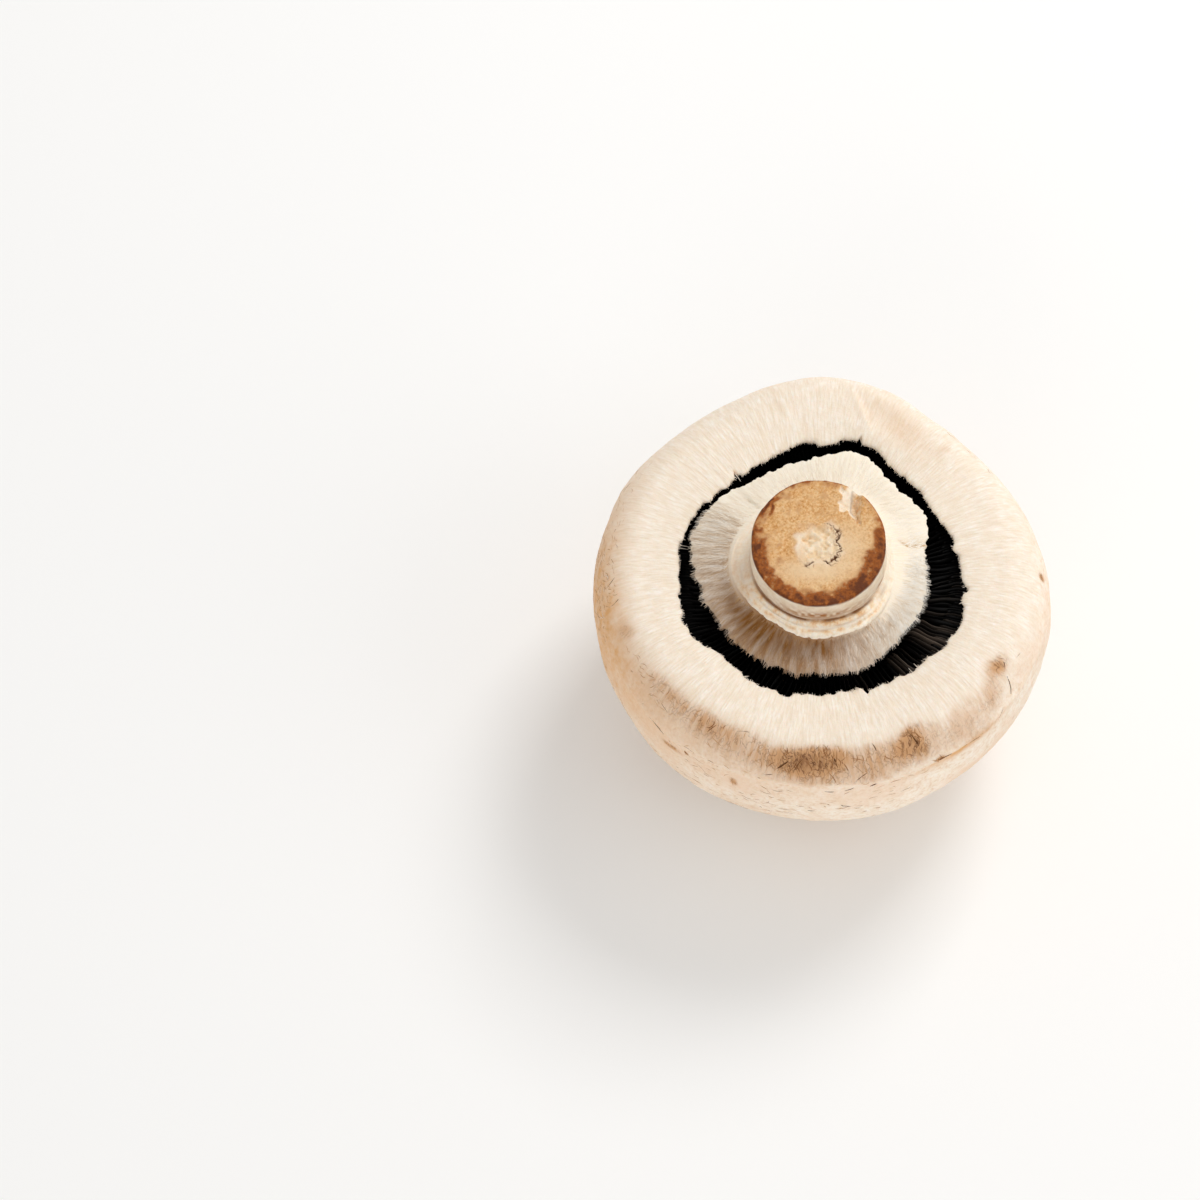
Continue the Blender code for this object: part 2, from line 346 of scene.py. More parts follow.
def gridded(rows, columns):
    """Two grids: the value of each row, and the azimuth of each of this many columns."""
    return np.meshgrid(rows, np.arange(columns) / columns * TURN, indexing="ij")


# %% [markdown]
# ## Materials
#
# Mushroom flesh is matte and a little translucent: light enters it, spreads a millimetre or so and leaves
# warmer. The Principled shader does that with its subsurface weight. Colour is worked out in the shader
# from noise in real millimetres and from the values that the meshes carry, such as how bruised a point is.

# %% Material helpers
PER_MM = (1000, 1000, 1000)
NOISE = ("Vector", "Scale", "Detail", "Roughness", "Distortion")


def linear(code):
    """Linear RGBA from an sRGB hex code."""
    srgb = np.array([int(code[k:k + 2], 16) for k in (1, 3, 5)]) / 255
    rgb = np.where(srgb <= 0.04045, srgb / 12.92, ((srgb + 0.055) / 1.055) ** 2.4)
    return (*rgb, 1)


def add(tree, kind, inputs=(), out=0, stops=(), **settings):
    """Adds a shader node of a kind, sets its properties, sets or links its inputs, and returns an output. Its
    inputs are a dictionary by socket or a tuple in socket order, with colours as hex codes. The stops are the
    (position, hex code) pairs of a colour ramp."""
    node = tree.nodes.new("ShaderNode" + kind)
    for name, value in settings.items():
        setattr(node, name, value)
    for socket, value in (inputs if isinstance(inputs, dict) else dict(enumerate(inputs))).items():
        if isinstance(value, bpy.types.NodeSocket):
            tree.links.new(value, node.inputs[socket])
        else:
            node.inputs[socket].default_value = linear(value) if isinstance(value, str) else value
    while stops and len(node.color_ramp.elements) < len(stops):
        node.color_ramp.elements.new(0.5)
    for place, (position, code) in enumerate(stops):
        node.color_ramp.elements[place].position = position
        node.color_ramp.elements[place].color = linear(code)
    return node.outputs[out]


def flesh(name, roughness, translucency):
    """A matte, slightly translucent material; returns it with its node tree and shader."""
    made = bpy.data.materials.new(name)
    made.use_nodes = True
    shader = made.node_tree.nodes["Principled BSDF"]
    settings = {
        "Roughness": roughness,
        "IOR": 1.4,
        "Specular IOR Level": 0.3,
        "Subsurface Weight": translucency,
        "Subsurface Radius": (1.0, 0.55, 0.3),
        "Subsurface Scale": 1.5 * MM,
    }
    for socket, value in settings.items():
        shader.inputs[socket].default_value = value
    return made, made.node_tree, shader


# %% [markdown]
# ## Cap skin
#
# The skin of a white mushroom is a thin dry layer of matted threads. On the margin the threads run outwards
# and show as faint cream fibres. Round the side the layer has dried to a pinkish buff. Where the mushroom
# was handled it has bruised, and there the threads are crumpled into pale ridges with brown creases between
# them. The creases are drawn where a noise field crosses its middle value, which makes thin wandering
# lines. The scale of each noise on millimetres is one over the size of its grains.

# %% Cap skin material
FIBRE = 0.3


def cap_skin():
    """Cream skin that is buff round the side, with coats of tan and brown where it is bruised."""
    made, tree, shader = flesh("Dry mushroom skin", 0.65, 0.1)
    place = add(tree, "TexCoord", out="Object")
    mm = add(tree, "Mapping", {"Vector": place, "Scale": PER_MM})
    grain = add(tree, "Attribute", out="Vector", attribute_name="grain")
    side, stain, blush, inside = (add(tree, "Attribute", out="Fac", attribute_name=name)
                                  for name in ("side", "stain", "blush", "inside"))
    matted = add(tree, "Mapping", {"Vector": grain, "Scale": (0.42, 0.42, 1.3)})
    broad, mottle, speck, fibre, tuft, crumple = (
        add(tree, "TexNoise", dict(zip(NOISE, row))) for row in (
            (mm, 1 / 8, 3, 0.5), (mm, 1 / 1.6, 6, 0.65), (mm, 1 / 0.5, 3, 0.6),
            (grain, 1.2, 3, 0.6), (grain, 0.4, 4, 0.65, 0.6), (matted, 1, 3, 0.55, 0.9)))

    speckled = add(tree, "Mix", {0: 0.5, 2: mottle, 3: speck})
    margin = add(tree, "ValToRGB", (fibre,),
                 stops=((0.3, "#E9D8C1"), (0.5, "#F4E7D6"), (0.7, "#FCF4E9")))
    wall = add(tree, "ValToRGB", (speckled,),
               stops=((0.36, "#E7CCB0"), (0.48, "#F4E2CD"), (0.6, "#FAEEDF")))
    cloudy = add(tree, "MapRange", (mottle, 0.42, 0.64, 0.4, 0))
    pink = add(tree, "MapRange", (broad, 0.48, 0.66, 0, 0.45), interpolation_type="SMOOTHSTEP")
    margin = add(tree, "Mix", {0: cloudy, 6: margin, 7: "#EDD8BE"}, 2, data_type="RGBA")
    wall = add(tree, "Mix", {0: pink, 6: wall, 7: "#EFD0B4"}, 2, data_type="RGBA")
    skin = add(tree, "Mix", {0: side, 6: margin, 7: wall}, 2, data_type="RGBA")

    # The tan wash carries the blush, which in the dip by the far fold is painted shade.
    tan_wash = add(tree, "Math", (mottle, 2.0, -0.1), operation="MULTIPLY_ADD")
    tan_wash = add(tree, "Math", (tan_wash, blush), operation="MULTIPLY", use_clamp=True)
    clump = add(tree, "MapRange", (tuft, 0.36, 0.64, 0.72, 1.22))
    bruise = add(tree, "Math", (stain, clump), operation="MULTIPLY")
    tan = add(tree, "MapRange", (bruise, 0.0, 0.5, 0, 0.92), interpolation_type="SMOOTHSTEP")
    brown = add(tree, "MapRange", (bruise, 0.42, 1.15, 0, 0.9), interpolation_type="SMOOTHSTEP")
    across = add(tree, "Math", (crumple, 0.5), operation="SUBTRACT")
    across = add(tree, "Math", (across,), operation="ABSOLUTE")
    line = add(tree, "MapRange", (across, 0.0, 0.035, 1, 0))
    held = add(tree, "MapRange", (stain, 0.12, 0.6, 0, 0.9))
    crease = add(tree, "Math", (line, held), operation="MULTIPLY")
    for share, coat in ((tan_wash, "#DEA970"), (tan, "#CA9664"), (brown, "#7C4A24"), (crease, "#6E4325"),
                        (inside, "#1E1612")):
        skin = add(tree, "Mix", {0: share, 6: skin, 7: coat}, 2, data_type="RGBA")

    threads = add(tree, "Math", (fibre, 0.35, speckled), operation="MULTIPLY_ADD")
    relief = add(tree, "Math", (crease, -0.8, threads), operation="MULTIPLY_ADD")
    bump = add(tree, "Bump", {"Height": relief, "Strength": 0.6, "Distance": 0.25 * MM})
    tree.links.new(bump, shader.inputs["Normal"])
    tree.links.new(skin, shader.inputs["Base Color"])
    return made


# %% [markdown]
# ## Cap
#
# One closed surface runs from the socket of the stem, across the ceiling of the gill chamber, round the
# torn lip and the fat margin, and down the dome to the crown. Relief is added along the surface's own
# normal: low lumps everywhere, fibres on the margin, a fold on the far side, and a step on the near side
# where the outer layer of skin ends. The bruises are a few soft spots, each with its azimuth, its distance
# from the lip and its size.

# %% Cap sizes
CAP_COLUMNS = 640
SOCKET = [(0, 17.7), (9.6, 17.7)]
CEILING = [(9.6, 21.0), (13.0, 20.8), (17.5, 21.2), (21.6, 22.6), (24.2, 25.2)]
CHAMBER_WALL = [(24.7, 28.0), (23.6, 30.6), (21.0, 32.1)]
LIP = [(18.6, 32.4), (LIP_RADIUS, 32.9), (18.7, 33.3), (20.8, MARGIN_TOP_Z)]
SKIN_STEP = 0.25
STEP_AT = 13.9
STEP_AZIMUTH = 275
BAND_AZIMUTH = 265
BAND_STAIN = 0.14
FOLD_AZIMUTH = 72
FOLD_SLANT = 1.6
FOLD_DEPTH = 0.6

# Distance between rows in the chamber, round the lip where fibres and bruises show, and on the dome
CAP_SPACINGS = (1.2, 0.27, 0.9)
FINE_FROM = -1.5
FINE_TO = 16
END_GAP = 0.3

# Azimuth in degrees, distance from the lip, half width in degrees, half length and strength of each bruise
BRUISES = (
    (265, 9.9, 7.5, 2.0, 0.64), (274, 9.6, 4.5, 1.8, 0.3), (284, 10.4, 7, 2.2, 0.2),
    (295, 9.6, 4.5, 2.3, 0.5), (252, 9.9, 9, 2.0, 0.17), (238, 8.9, 9, 1.9, 0.22),
    (224, 8.4, 8, 1.9, 0.2), (308, 11.2, 9, 2.2, 0.1), (328, 8.9, 3.4, 1.2, 0.42),
    (321, 10.4, 5, 1.8, 0.18), (0, 12.2, 1.1, 0.8, 0.8), (313, 14.6, 5, 1.2, 0.25),
    (247, 16.4, 0.85, 0.42, 1.9), (234, 15.9, 0.4, 0.2, 2.5), (229, 17.0, 3.2, 0.6, 0.5),
    (200, 8.9, 4, 1.4, 0.25), (129, 0.4, 1.2, 1.2, 0.24), (47, 6.4, 2.4, 2.2, 0.15),
    (104, 6.2, 2.2, 2.2, 0.1), (301, 14.0, 1.2, 0.35, 0.9), (150, 27, 12, 5, 0.2), (64, 36, 15, 5, 0.22),
    (350, 31, 9, 4, 0.14), (110, 50, 26, 4, 0.2), (200, 24, 8, 3, 0.15), (24, 22, 7, 3, 0.14),
    (82, 19, 7, 3, 0.2), (156, 24, 1.2, 0.6, 0.9), (276, 12.8, 14, 1.3, 0.09),
)
# Azimuth, half width in degrees and depth of each notch in the torn lip
NOTCHES = ((75, 0.8, 0.9), (129, 0.7, 0.5), (288, 0.9, 0.9), (103, 0.7, 0.4))
# Azimuth and distance from the lip at the two ends of single cracks, then their half thickness
CRACKS = (
    (221, 14.0, 229, 15.9, 0.045), (331, 8.0, 328, 10.2, 0.08), (328, 10.0, 325, 14.6, 0.11),
    (331, 10.4, 335, 10.6, 0.03), (258, 11.4, 261, 9.9, 0.16), (273, 8.6, 274, 10.6, 0.12),
    (267.5, 8.4, 270, 7.1, 0.09), (254, 12.9, 257.5, 12.3, 0.08), (245, 8.0, 249, 7.4, 0.05),
    (278.5, 12.7, 282, 11.5, 0.09), (281.5, 14.6, 284, 14.1, 0.10), (275.5, 14.8, 278, 14.3, 0.09),
    (270.5, 14.7, 273, 14.8, 0.08), (274, 18.3, 277, 19.4, 0.09), (265.5, 20.2, 268, 20.3, 0.08),
    (284, 7.9, 285, 9.2, 0.07), (299, 13.6, 305, 14.2, 0.09), (305, 14.2, 315, 15.6, 0.05),
    (316, 15.4, 322, 13.8, 0.06), (295, 8.2, 296.5, 11.0, 0.10), (191, 10.0, 190, 8.5, 0.09),
    (185, 10.2, 183, 8.8, 0.06), (209, 11.1, 215, 10.7, 0.06), (222.5, 10.5, 225.5, 10.9, 0.06),
    (215, 14.0, 218, 13.1, 0.06), (52, 17, 55, 16, 0.05), (101, 28, 103, 31, 0.07), (149, 21, 154, 22, 0.06),
)
print(len(BRUISES), "bruises and", len(CRACKS), "cracks are placed by hand")


# %% Cap surface
def cap_line():
    """The cap's profile, and the distance along it of the lip's tip."""
    shoulder = superellipse((MARGIN_TOP_RADIUS, WIDEST_Z), CAP_RADIUS - MARGIN_TOP_RADIUS,
                            MARGIN_TOP_Z - WIDEST_Z, SHOULDER_FULLNESS, np.linspace(0, 88, 60))
    dome = superellipse((0, WIDEST_Z), CAP_RADIUS, -WIDEST_Z, DOME_FULLNESS, np.linspace(90, 17, 120))
    crown = [(CROWN_FLAT_RADIUS, 0), (0, 0)]
    before = np.vstack([SOCKET, CEILING, CHAMBER_WALL, LIP[:2]])
    return np.vstack([before, LIP[2:], shoulder, dome, crown]), length_along(before)[-1]


def fold_line(travel):
    """Azimuth of the fold on the far side of the margin, which slants as it runs outwards."""
    return np.radians(FOLD_AZIMUTH + FOLD_SLANT * (travel - 3))


def cap_relief(points, azimuth, travel):
    """Height in mm above the smooth cap: lumps, fibres, the far fold and the near step."""
    outer = ease(0, 8, travel)
    lumps = 0.3 * cloud(points, 13, 1) + 0.14 * cloud(points, 5, 2) + 0.05 * cloud(points, 2.2, 11)
    side = ease(8, 14, travel)
    scales = 0.06 * cloud(points, 1.3, 3) * side
    fibres = 0.035 * streaks(azimuth, travel, 0.6, 2.5, MARGIN_GIRTH, 4) * (1 - side) * ease(-1, 1, travel)
    behind = off(azimuth, fold_line(travel))
    dip = np.where(behind < 0, hill(0, np.radians(13), behind), 1 - ease(0, np.radians(1.8), behind))
    raised = 0.12 * hill(np.radians(2.2), np.radians(1.5), behind) * ease(2.8, 4.2, travel)
    fold = (raised - FOLD_DEPTH * dip * ease(1.5, 6.0, travel)) * (1 - ease(6.0, 8.6, travel))
    near = within(azimuth, STEP_AZIMUTH, 58, 76)
    wavy = 0.5 * np.sin(5 * azimuth) + 0.45 * cloud(points, 2.5, 5)
    past = travel - (STEP_AT + wavy + 1.2 * ease(5.2, 5.8, azimuth))
    step = -SKIN_STEP * near * ease(-0.3, 0.3, past) * (1 - ease(16, 21, travel))
    ridge = 0.18 * near * hill(-0.5, 0.5, past)
    return lumps * outer + scales + fibres + fold + step + ridge


def bruising(points, azimuth, travel):
    """Sum of the bruises over a faint band on the near side of the shoulder."""
    drift = 0.8 * cloud(points, 3.0, 6) + 0.5 * cloud(points, 1.2, 7)
    near = BAND_STAIN * within(azimuth, BAND_AZIMUTH, 48, 70)
    total = near * ease(6.6, 9.0, travel + drift) * (1 - ease(12.5, 14.5, travel + 0.5 * drift))
    for where, distance, half, length, strength in BRUISES:
        wide = hill(0, np.radians(half), off(azimuth, np.radians(where)) + 0.015 * drift)
        total = total + strength * wide * hill(distance, length, travel + 0.4 * drift)
    return total


def blushing(points, azimuth, travel):
    """A soft tan wash: on the left and near shoulder, along one crack, and in drifts on the dome; in the dip
    by the fold it is painted shade."""
    left = facing(azimuth, 188, 34) * ease(5.5, 12, travel + 0.8 * cloud(points, 4, 12))
    left = left * (1 - 0.6 * ease(17, 24, travel))
    near = 0.2 * facing(azimuth, 240, 40) * ease(9, 12, travel)
    behind = off(azimuth, fold_line(travel))
    # Painted shade in the dip right of the far fold.
    dip = 0.34 * hill(np.radians(-12), np.radians(12), behind) * hill(5.5, 2.6, travel)
    line = facing(azimuth, 309, 14) * hill(14.9, 0.9, travel)
    drifts = 0.32 * ease(-0.1, 0.8, cloud(points, 10, 13) + 0.4 * cloud(points, 3, 14)) * ease(18, 26, travel)
    return 0.88 * left + near * (1 - ease(16, 22, travel)) + dip + line + drifts


def torn_lip(azimuth, travel):
    """How far the torn edge pulls each point of the margin: tufts, tears and a few notches."""
    torn = 0.22 * jagged(azimuth, 2.4, LIP_GIRTH, 8)
    torn = torn + 0.2 * np.tanh(4 * jagged(azimuth, 1.5, LIP_GIRTH, 9))
    torn = torn + 0.12 * np.tanh(4 * jagged(azimuth, 0.8, LIP_GIRTH, 15))
    for where, half, depth in NOTCHES:
        torn = torn + depth * facing(azimuth, where, half)
    return torn * (1 - ease(0, 2.0, np.abs(travel)))


def build_cap():
    """The cap's grid, its normals, its rows by distance from the lip and by girth, and its named values."""
    line, lip = cap_line()
    bounds = (END_GAP, lip + FINE_FROM, lip + FINE_TO, length_along(line)[-1] - END_GAP)
    rows = spaced(bounds, CAP_SPACINGS)
    girth, height = sampled(line, rows, 0.35)
    travel, azimuth = gridded(rows - lip, CAP_COLUMNS)
    radius, z = (gridded(values, CAP_COLUMNS)[0] for values in (girth, height))
    near_lip = (1 - ease(LIP_RADIUS, MARGIN_TOP_RADIUS, radius)) * ease(-6, -1, travel)
    radius = radius + near_lip * (around(MARGIN_EDGE, azimuth) - LIP_RADIUS) + torn_lip(azimuth, travel)
    grid = grown(radius, azimuth, z)
    normal = outward(grid)
    grid = grid + normal * cap_relief(grid, azimuth, travel)[..., None]
    grid[..., 2] = np.maximum(grid[..., 2], 0)
    drift = 1.2 * cloud(grid, 4, 10)
    fields = {
        "grain": spun(azimuth, travel, FIBRE, 2.2, MARGIN_GIRTH),
        "side": ease(8, 14, travel + drift),
        "stain": bruising(grid, azimuth, travel),
        "blush": blushing(grid, azimuth, travel),
        "inside": ease(0.9, 2.2, -travel),
    }
    return grid, normal, rows - lip, girth, fields


CAP_SKIN = cap_skin()
CAP_GRID, CAP_NORMAL, CAP_TRAVEL, CAP_GIRTH, cap_fields = build_cap()
show("mushroom_cap", wrapped("mushroom_cap", CAP_GRID, cap_fields), CAP_SKIN, "cap_skin", "cap")

# %% [markdown]
# ## Splits and scales in the skin
#
# Dry skin splits into short curved cracks, mostly round the cap, where small scales lift. Each crack is a
# thin brown thread sunk half into the surface, with its place read from the cap's own grid of points. Their
# scatter is clustered by a random field, because scales form in patches, and the thicker ones on clean skin
# get a pale lip beside them, partly the pale torn edge of the scale and partly a painted highlight where the
# lifted edge catches the light. In the bruises many finer threads run outwards, like matted hair. A few
# cracks are placed one by one.

# %% Lines on the skin
def on_cap(azimuth, travel, lift):
    """Points on the finished cap, lifted along its normal."""
    point = on_surface(CAP_GRID, CAP_TRAVEL, azimuth, travel)
    return point + on_surface(CAP_NORMAL, CAP_TRAVEL, azimuth, travel) * lift[..., None]


def marks(azimuth, travel, angle, length, bend, thickness):
    """Curved centre lines: for t from -1 to 1, length * t / 2 along the mark and bend * length * (t*t - 1/3)
    across it, and the thickness tapers to both ends."""
    t = np.linspace(-1, 1, 6)[None]
    azimuth, travel, angle, length, bend, thickness = (
        values[:, None] for values in (azimuth, travel, angle, length, bend, thickness))
    along = 0.5 * length * t
    across = bend * length * (t * t - 1 / 3)
    girth = np.interp(travel, CAP_TRAVEL, CAP_GIRTH)
    thick = thickness * (1 - 0.9 * t * t)
    line = on_cap(azimuth + (along * np.cos(angle) - across * np.sin(angle)) / girth,
                  travel + along * np.sin(angle) + across * np.cos(angle), -0.25 * thick)
    line[..., 2] = np.maximum(line[..., 2], thick)
    return line, thick


def single_cracks():
    """The cracks of the table, each from end to end, wandering a little and uneven in thickness."""
    start, start_travel, stop, stop_travel, half = np.array(CRACKS).T
    start, stop = np.radians(start), np.radians(stop)
    middle = (start_travel + stop_travel) / 2
    wide = (stop - start) * np.interp(middle, CAP_TRAVEL, CAP_GIRTH)
    long = stop_travel - start_travel
    line, thick = marks((start + stop) / 2, middle, np.arctan2(long, wide), np.hypot(long, wide),
                        0.06 * np.sin(9 * start), half)
    wander = 0.07 * cloud(line, 0.7, 18)[..., None]
    return line + wander, thick * (0.75 + 0.5 * cloud(line, 0.5, 19))


# %% Scatter of the marks
SCALES = 3400
THREADS = 1100
DASHES = 460
LIP_OFFSET = 0.07

# Random draws for the scales, threads and dashes: azimuth, distance from the lip, angle, length, thickness.
# A uniform draw has its two limits, and a normal one its middle and spread. The scales' distance is a share.
MARK_DRAWS = (
    (("uniform", 0, TURN, SCALES), ("normal", np.radians(272), np.radians(26), THREADS),
     ("normal", np.radians(192), np.radians(20), DASHES)),
    (("uniform", 0, 1, SCALES), ("uniform", 7.2, 14.5, THREADS), ("uniform", 8.8, 19, DASHES)),
    (("normal", 0, 0.4, SCALES), ("normal", TURN / 4, 0.5, THREADS), ("normal", -0.4, 0.4, DASHES)),
    (("uniform", 0.4, 1.9, SCALES), ("uniform", 0.5, 2.0, THREADS), ("uniform", 0.4, 1.3, DASHES)),
    (("uniform", 0.025, 0.07, SCALES), ("uniform", 0.02, 0.08, THREADS), ("uniform", 0.02, 0.055, DASHES)),
)


def skin_marks():
    """All the marks: scattered scales, matted threads in the bruises, fine dashes on the left, and cracks."""
    draw = np.random.default_rng(71)
    at, away, angle, length, thickness = (
        np.concatenate([getattr(draw, how)(first, second, count) for how, first, second, count in kinds])
        for kinds in MARK_DRAWS)
    away[:SCALES] = 10 + 50 * away[:SCALES] ** 0.8
    bend = draw.normal(0, 0.13, len(at))
    shade = draw.uniform(0.05, 0.6, len(at))
    place = on_cap(at, away, 0 * at)
    crowd = cloud(place, 9, 16) + 0.6 * cloud(place, 3, 17)
    stain = bruising(place, at, away)
    kind = np.repeat((0, 1, 2), (SCALES, THREADS, DASHES))
    right = facing(at, 20, 60)
    near = facing(at, 285, 50) * (1 - ease(20, 25, away))
    patches = crowd > 0.1 + 0.3 * right - 0.45 * near
    crumpled = stain > 0.25 + 0.4 * draw.uniform(0, 1, len(at))
    keep = np.select([kind == 0, kind == 1], [patches, crumpled], crowd > -0.25)
    shade = shade + np.where(kind == 1, 0.35 * stain, 0) - 0.15 * right
    curl = [values[keep] for values in (at, away, angle, length, bend, thickness)]
    line, thick = marks(*curl)
    # Pale lips beside the thicker scales: partly the pale torn edge and partly a painted highlight on the
    # lifted edge.
    lifted = (kind[keep] == 0) & (stain[keep] < 0.1) & (curl[5] > 0.045)
    curl[1] = curl[1] + LIP_OFFSET
    highlight_lips, highlight_lip_thick = marks(*(values[lifted] for values in curl))
    cracks, crack_thick = single_cracks()
    line = np.concatenate([line, highlight_lips, cracks])
    thick = np.concatenate([thick, highlight_lip_thick, crack_thick])
    shade = np.concatenate([shade[keep] + 0.15, np.zeros(len(highlight_lips)), np.ones(len(cracks))])
    return line, thick, np.repeat(shade[:, None], line.shape[1], 1)


# %% Marks
def split_skin():
    """Dry edges, from the pale lip of a scale, partly a painted highlight, through tan to the dark brown of
    an open crack.
    """
    made, tree, shader = flesh("Split skin edge", 0.8, 0.0)
    shade = add(tree, "Attribute", out="Fac", attribute_name="shade")
    colour = add(tree, "ValToRGB", (shade,), stops=(
        (0.0, "#F7E8D5"), (0.15, "#D9B48C"), (0.5, "#B98A5C"), (0.85, "#8A5A32"), (1.0, "#5E3A1C")))
    tree.links.new(colour, shader.inputs["Base Color"])
    return made


mark_line, mark_thick, mark_shade = skin_marks()
mark_mesh = strands("skin_marks", mark_line, mark_thick, {"shade": mark_shade}, up_at=-0.25)
show("skin_marks", mark_mesh, split_skin(), "cap_skin").data.shade_flat()

# %% [markdown]
# ## Torn fringe of the margin
#
# The veil tore away from the margin and left short threads over the gills. Each is a thin three-sided spike
# whose root is sunk in the lip. Their azimuths, lengths and lifts are random draws with a fixed seed.

# %% Fringe
FRINGE = 700
BRIDGES = (128.6, 169.4, 170.3)
BRIDGE_REACH = 1.2


def fringe():
    """Spikes from inside the lip to just past its torn edge, which droop a little towards their tips."""
    draw = np.random.default_rng(21)
    azimuth = draw.uniform(0, TURN, (FRINGE, 1))
    ragged = 0.25 + 0.3 * jagged(azimuth, 3, LIP_GIRTH, 22) + 1.1 * facing(azimuth, 308, 16)
    reach = draw.gamma(2.0, 0.07, (FRINGE, 1)) * ragged
    azimuth[:len(BRIDGES), 0] = np.radians(BRIDGES)
    reach[:len(BRIDGES)] = BRIDGE_REACH
    t = np.linspace(0, 1, 5)[None]
    tip = around(MARGIN_EDGE, azimuth) + torn_lip(azimuth, 0 * azimuth)
    radius = tip + 0.9 - (0.85 + reach) * t
    lean = draw.normal(0, 0.014, (FRINGE, 1)) * t
    z = LIP[1][1] + draw.uniform(-0.2, 0.35, (FRINGE, 1)) - 0.2 * t ** 2
    line = grown(radius, azimuth + lean, z + 0 * radius)
    thick = draw.uniform(0.06, 0.14, (FRINGE, 1)) * (1 - 0.7 * t)
    fields = dict.fromkeys(("side", "stain", "blush", "inside"), 0 * radius)
    return strands("margin_fringe", line, thick, fields)


show("margin_fringe", fringe(), CAP_SKIN, "cap_skin")

# %% [markdown]
# ## Gills
#
# The gills of a ripe button mushroom are chocolate-black plates of a fraction of a millimetre, full length
# and short by turns, and each waves a little. Each blade is one tube of four corners, two sunk in the bed
# and two at the free edge, which stays at or a little below the heights of the solid ring. The edges catch
# the light as fine lines, with a painted highlight on the edges of the blades on the near right.

# %% Gill material and blades
GILLS = 300
GILL_START = 10.3
SHORT_GILL_START = 15.0
GILL_END = 23.4
GILL_RADIUS = np.array([10.3, 11.6, 14.0, 17.5, 21.0, 23.3])
GILL_EDGE_Z = np.array([21.9, 26.6, 28.7, 29.3, 29.2, 27.9])
GILL_ROOT = 0.6
GILL_CORNERS = np.array((-0.1, 0.1, 0.04, -0.04))
BED_TOP = 1.1
BED_BOTTOM = 0.3
BED_COLUMNS = 180


def gill_flesh():
    """Black flesh with a faint gloss, because ripe gills are moist, and greyer at the free edges as a painted
    highlight.
    """
    made, tree, shader = flesh("Ripe gill flesh", 0.42, 0.0)
    rim = add(tree, "Attribute", out="Fac", attribute_name="rim")
    colour = add(tree, "ValToRGB", (rim,),
                 stops=((0.0, "#050303"), (0.4, "#0A0706"), (1.0, "#7A6B5E")))
    tree.links.new(colour, shader.inputs["Base Color"])
    return made


def gill_blades():
    """Blades as four-cornered tubes that run outwards. Neighbours share most of a slow wave, which is noise
    of azimuth and radius, so that they run in bundles."""
    draw = np.random.default_rng(31)
    start = np.where(np.arange(GILLS) % 2 == 0, GILL_START, SHORT_GILL_START)[:, None]
    start = start + draw.uniform(0, 1.2, (GILLS, 1))
    t = np.linspace(0, 1, 26)[None]
    radius = start + (GILL_END - start) * t
    turn = np.arange(GILLS)[:, None] / GILLS * TURN + 0 * t
    slow = 0.55 * streaks(turn, radius, 5, 4.5, LIP_GIRTH, 32)
    wave = slow + 0.3 * streaks(turn, radius, 1.4, 2, LIP_GIRTH, 33)
    azimuth = turn + wave / radius
    bed = np.interp(radius, *np.array(CEILING).T) + GILL_ROOT
    rise = ease(0, 0.18, t) * (1 - 0.6 * ease(0.93, 1, t))
    lower = draw.uniform(-0.5, 0, (GILLS, 1)) + 0.2 * streaks(turn, radius, 0.5, 2, LIP_GIRTH, 34)
    lit = facing(turn, 322, 30)
    lower = lower - 0.9 * (1 - lit)
    edge = bed + (np.interp(radius, GILL_RADIUS, GILL_EDGE_Z) - bed) * rise + lower
    across = GILL_CORNERS + 0 * edge[..., None]
    heights = np.stack([bed, bed, edge, edge], -1)
    sections = grown(radius[..., None] + 0 * across, azimuth[..., None] + across / radius[..., None], heights)
    mesh = tubes("gill_blades", sections, {})
    # The free edges are painted lighter on the near right, where they catch the light: a painted highlight.
    painted_edge_glint = 0.35 + 0.65 * lit * draw.uniform(0, 1, (GILLS, 1)) ** 2
    rim = (np.array((0.0, 0.0, 1.0, 1.0)) * painted_edge_glint[..., None]).ravel()
    mesh.attributes.new("rim", "FLOAT", "POINT").data.foreach_set("value", rim)
    return mesh


def gill_bed():
    """The thin dark layer that the blades stand on, as a ring over the ceiling of the chamber."""
    out = np.linspace(GILL_START, GILL_END, 24)
    ceiling = np.interp(out, *np.array(CEILING).T)
    radius = np.concatenate([out, out[::-1]])
    z = np.concatenate([ceiling + BED_TOP, ceiling[::-1] + BED_BOTTOM])
    z, azimuth = gridded(z, BED_COLUMNS)
    return wrapped("gill_bed", grown(radius[:, None] + 0 * z, azimuth, z), {}, ring=True)


GILL_FLESH = gill_flesh()
show("gill_blades", gill_blades(), GILL_FLESH, "gill_flesh", "gills")
show("gill_bed", gill_bed(), GILL_FLESH, "gill_flesh")

# %% [markdown]
# ## Cut stem
#
# The stem was cut days ago. Its face has dried to a tan crust with a darker orange-brown rim, the pith has
# shrunk into a crumbling ring of cracks, and a chip at the far edge shows paler flesh, its facet towards the
# lamp painted paler still and its valley painted with a dark line of shade. These are worked out in the plane
# of the cut, in millimetres from its centre, both as height and as named values for the colour.

# %% Cut face
STEM_COLUMNS = 420
PITH = (-0.3, -0.2)
PITH_RING = 2.7
CHIP_AZIMUTH = np.radians(53)
CHIP_START = 5.2
CHIP_SLOPE = 1.4
CHIP_DEPTH = 1.6
CHIP_LEFT = 2.0
CHIP_VALLEY = 4.2
CHIP_RIGHT = 5.8


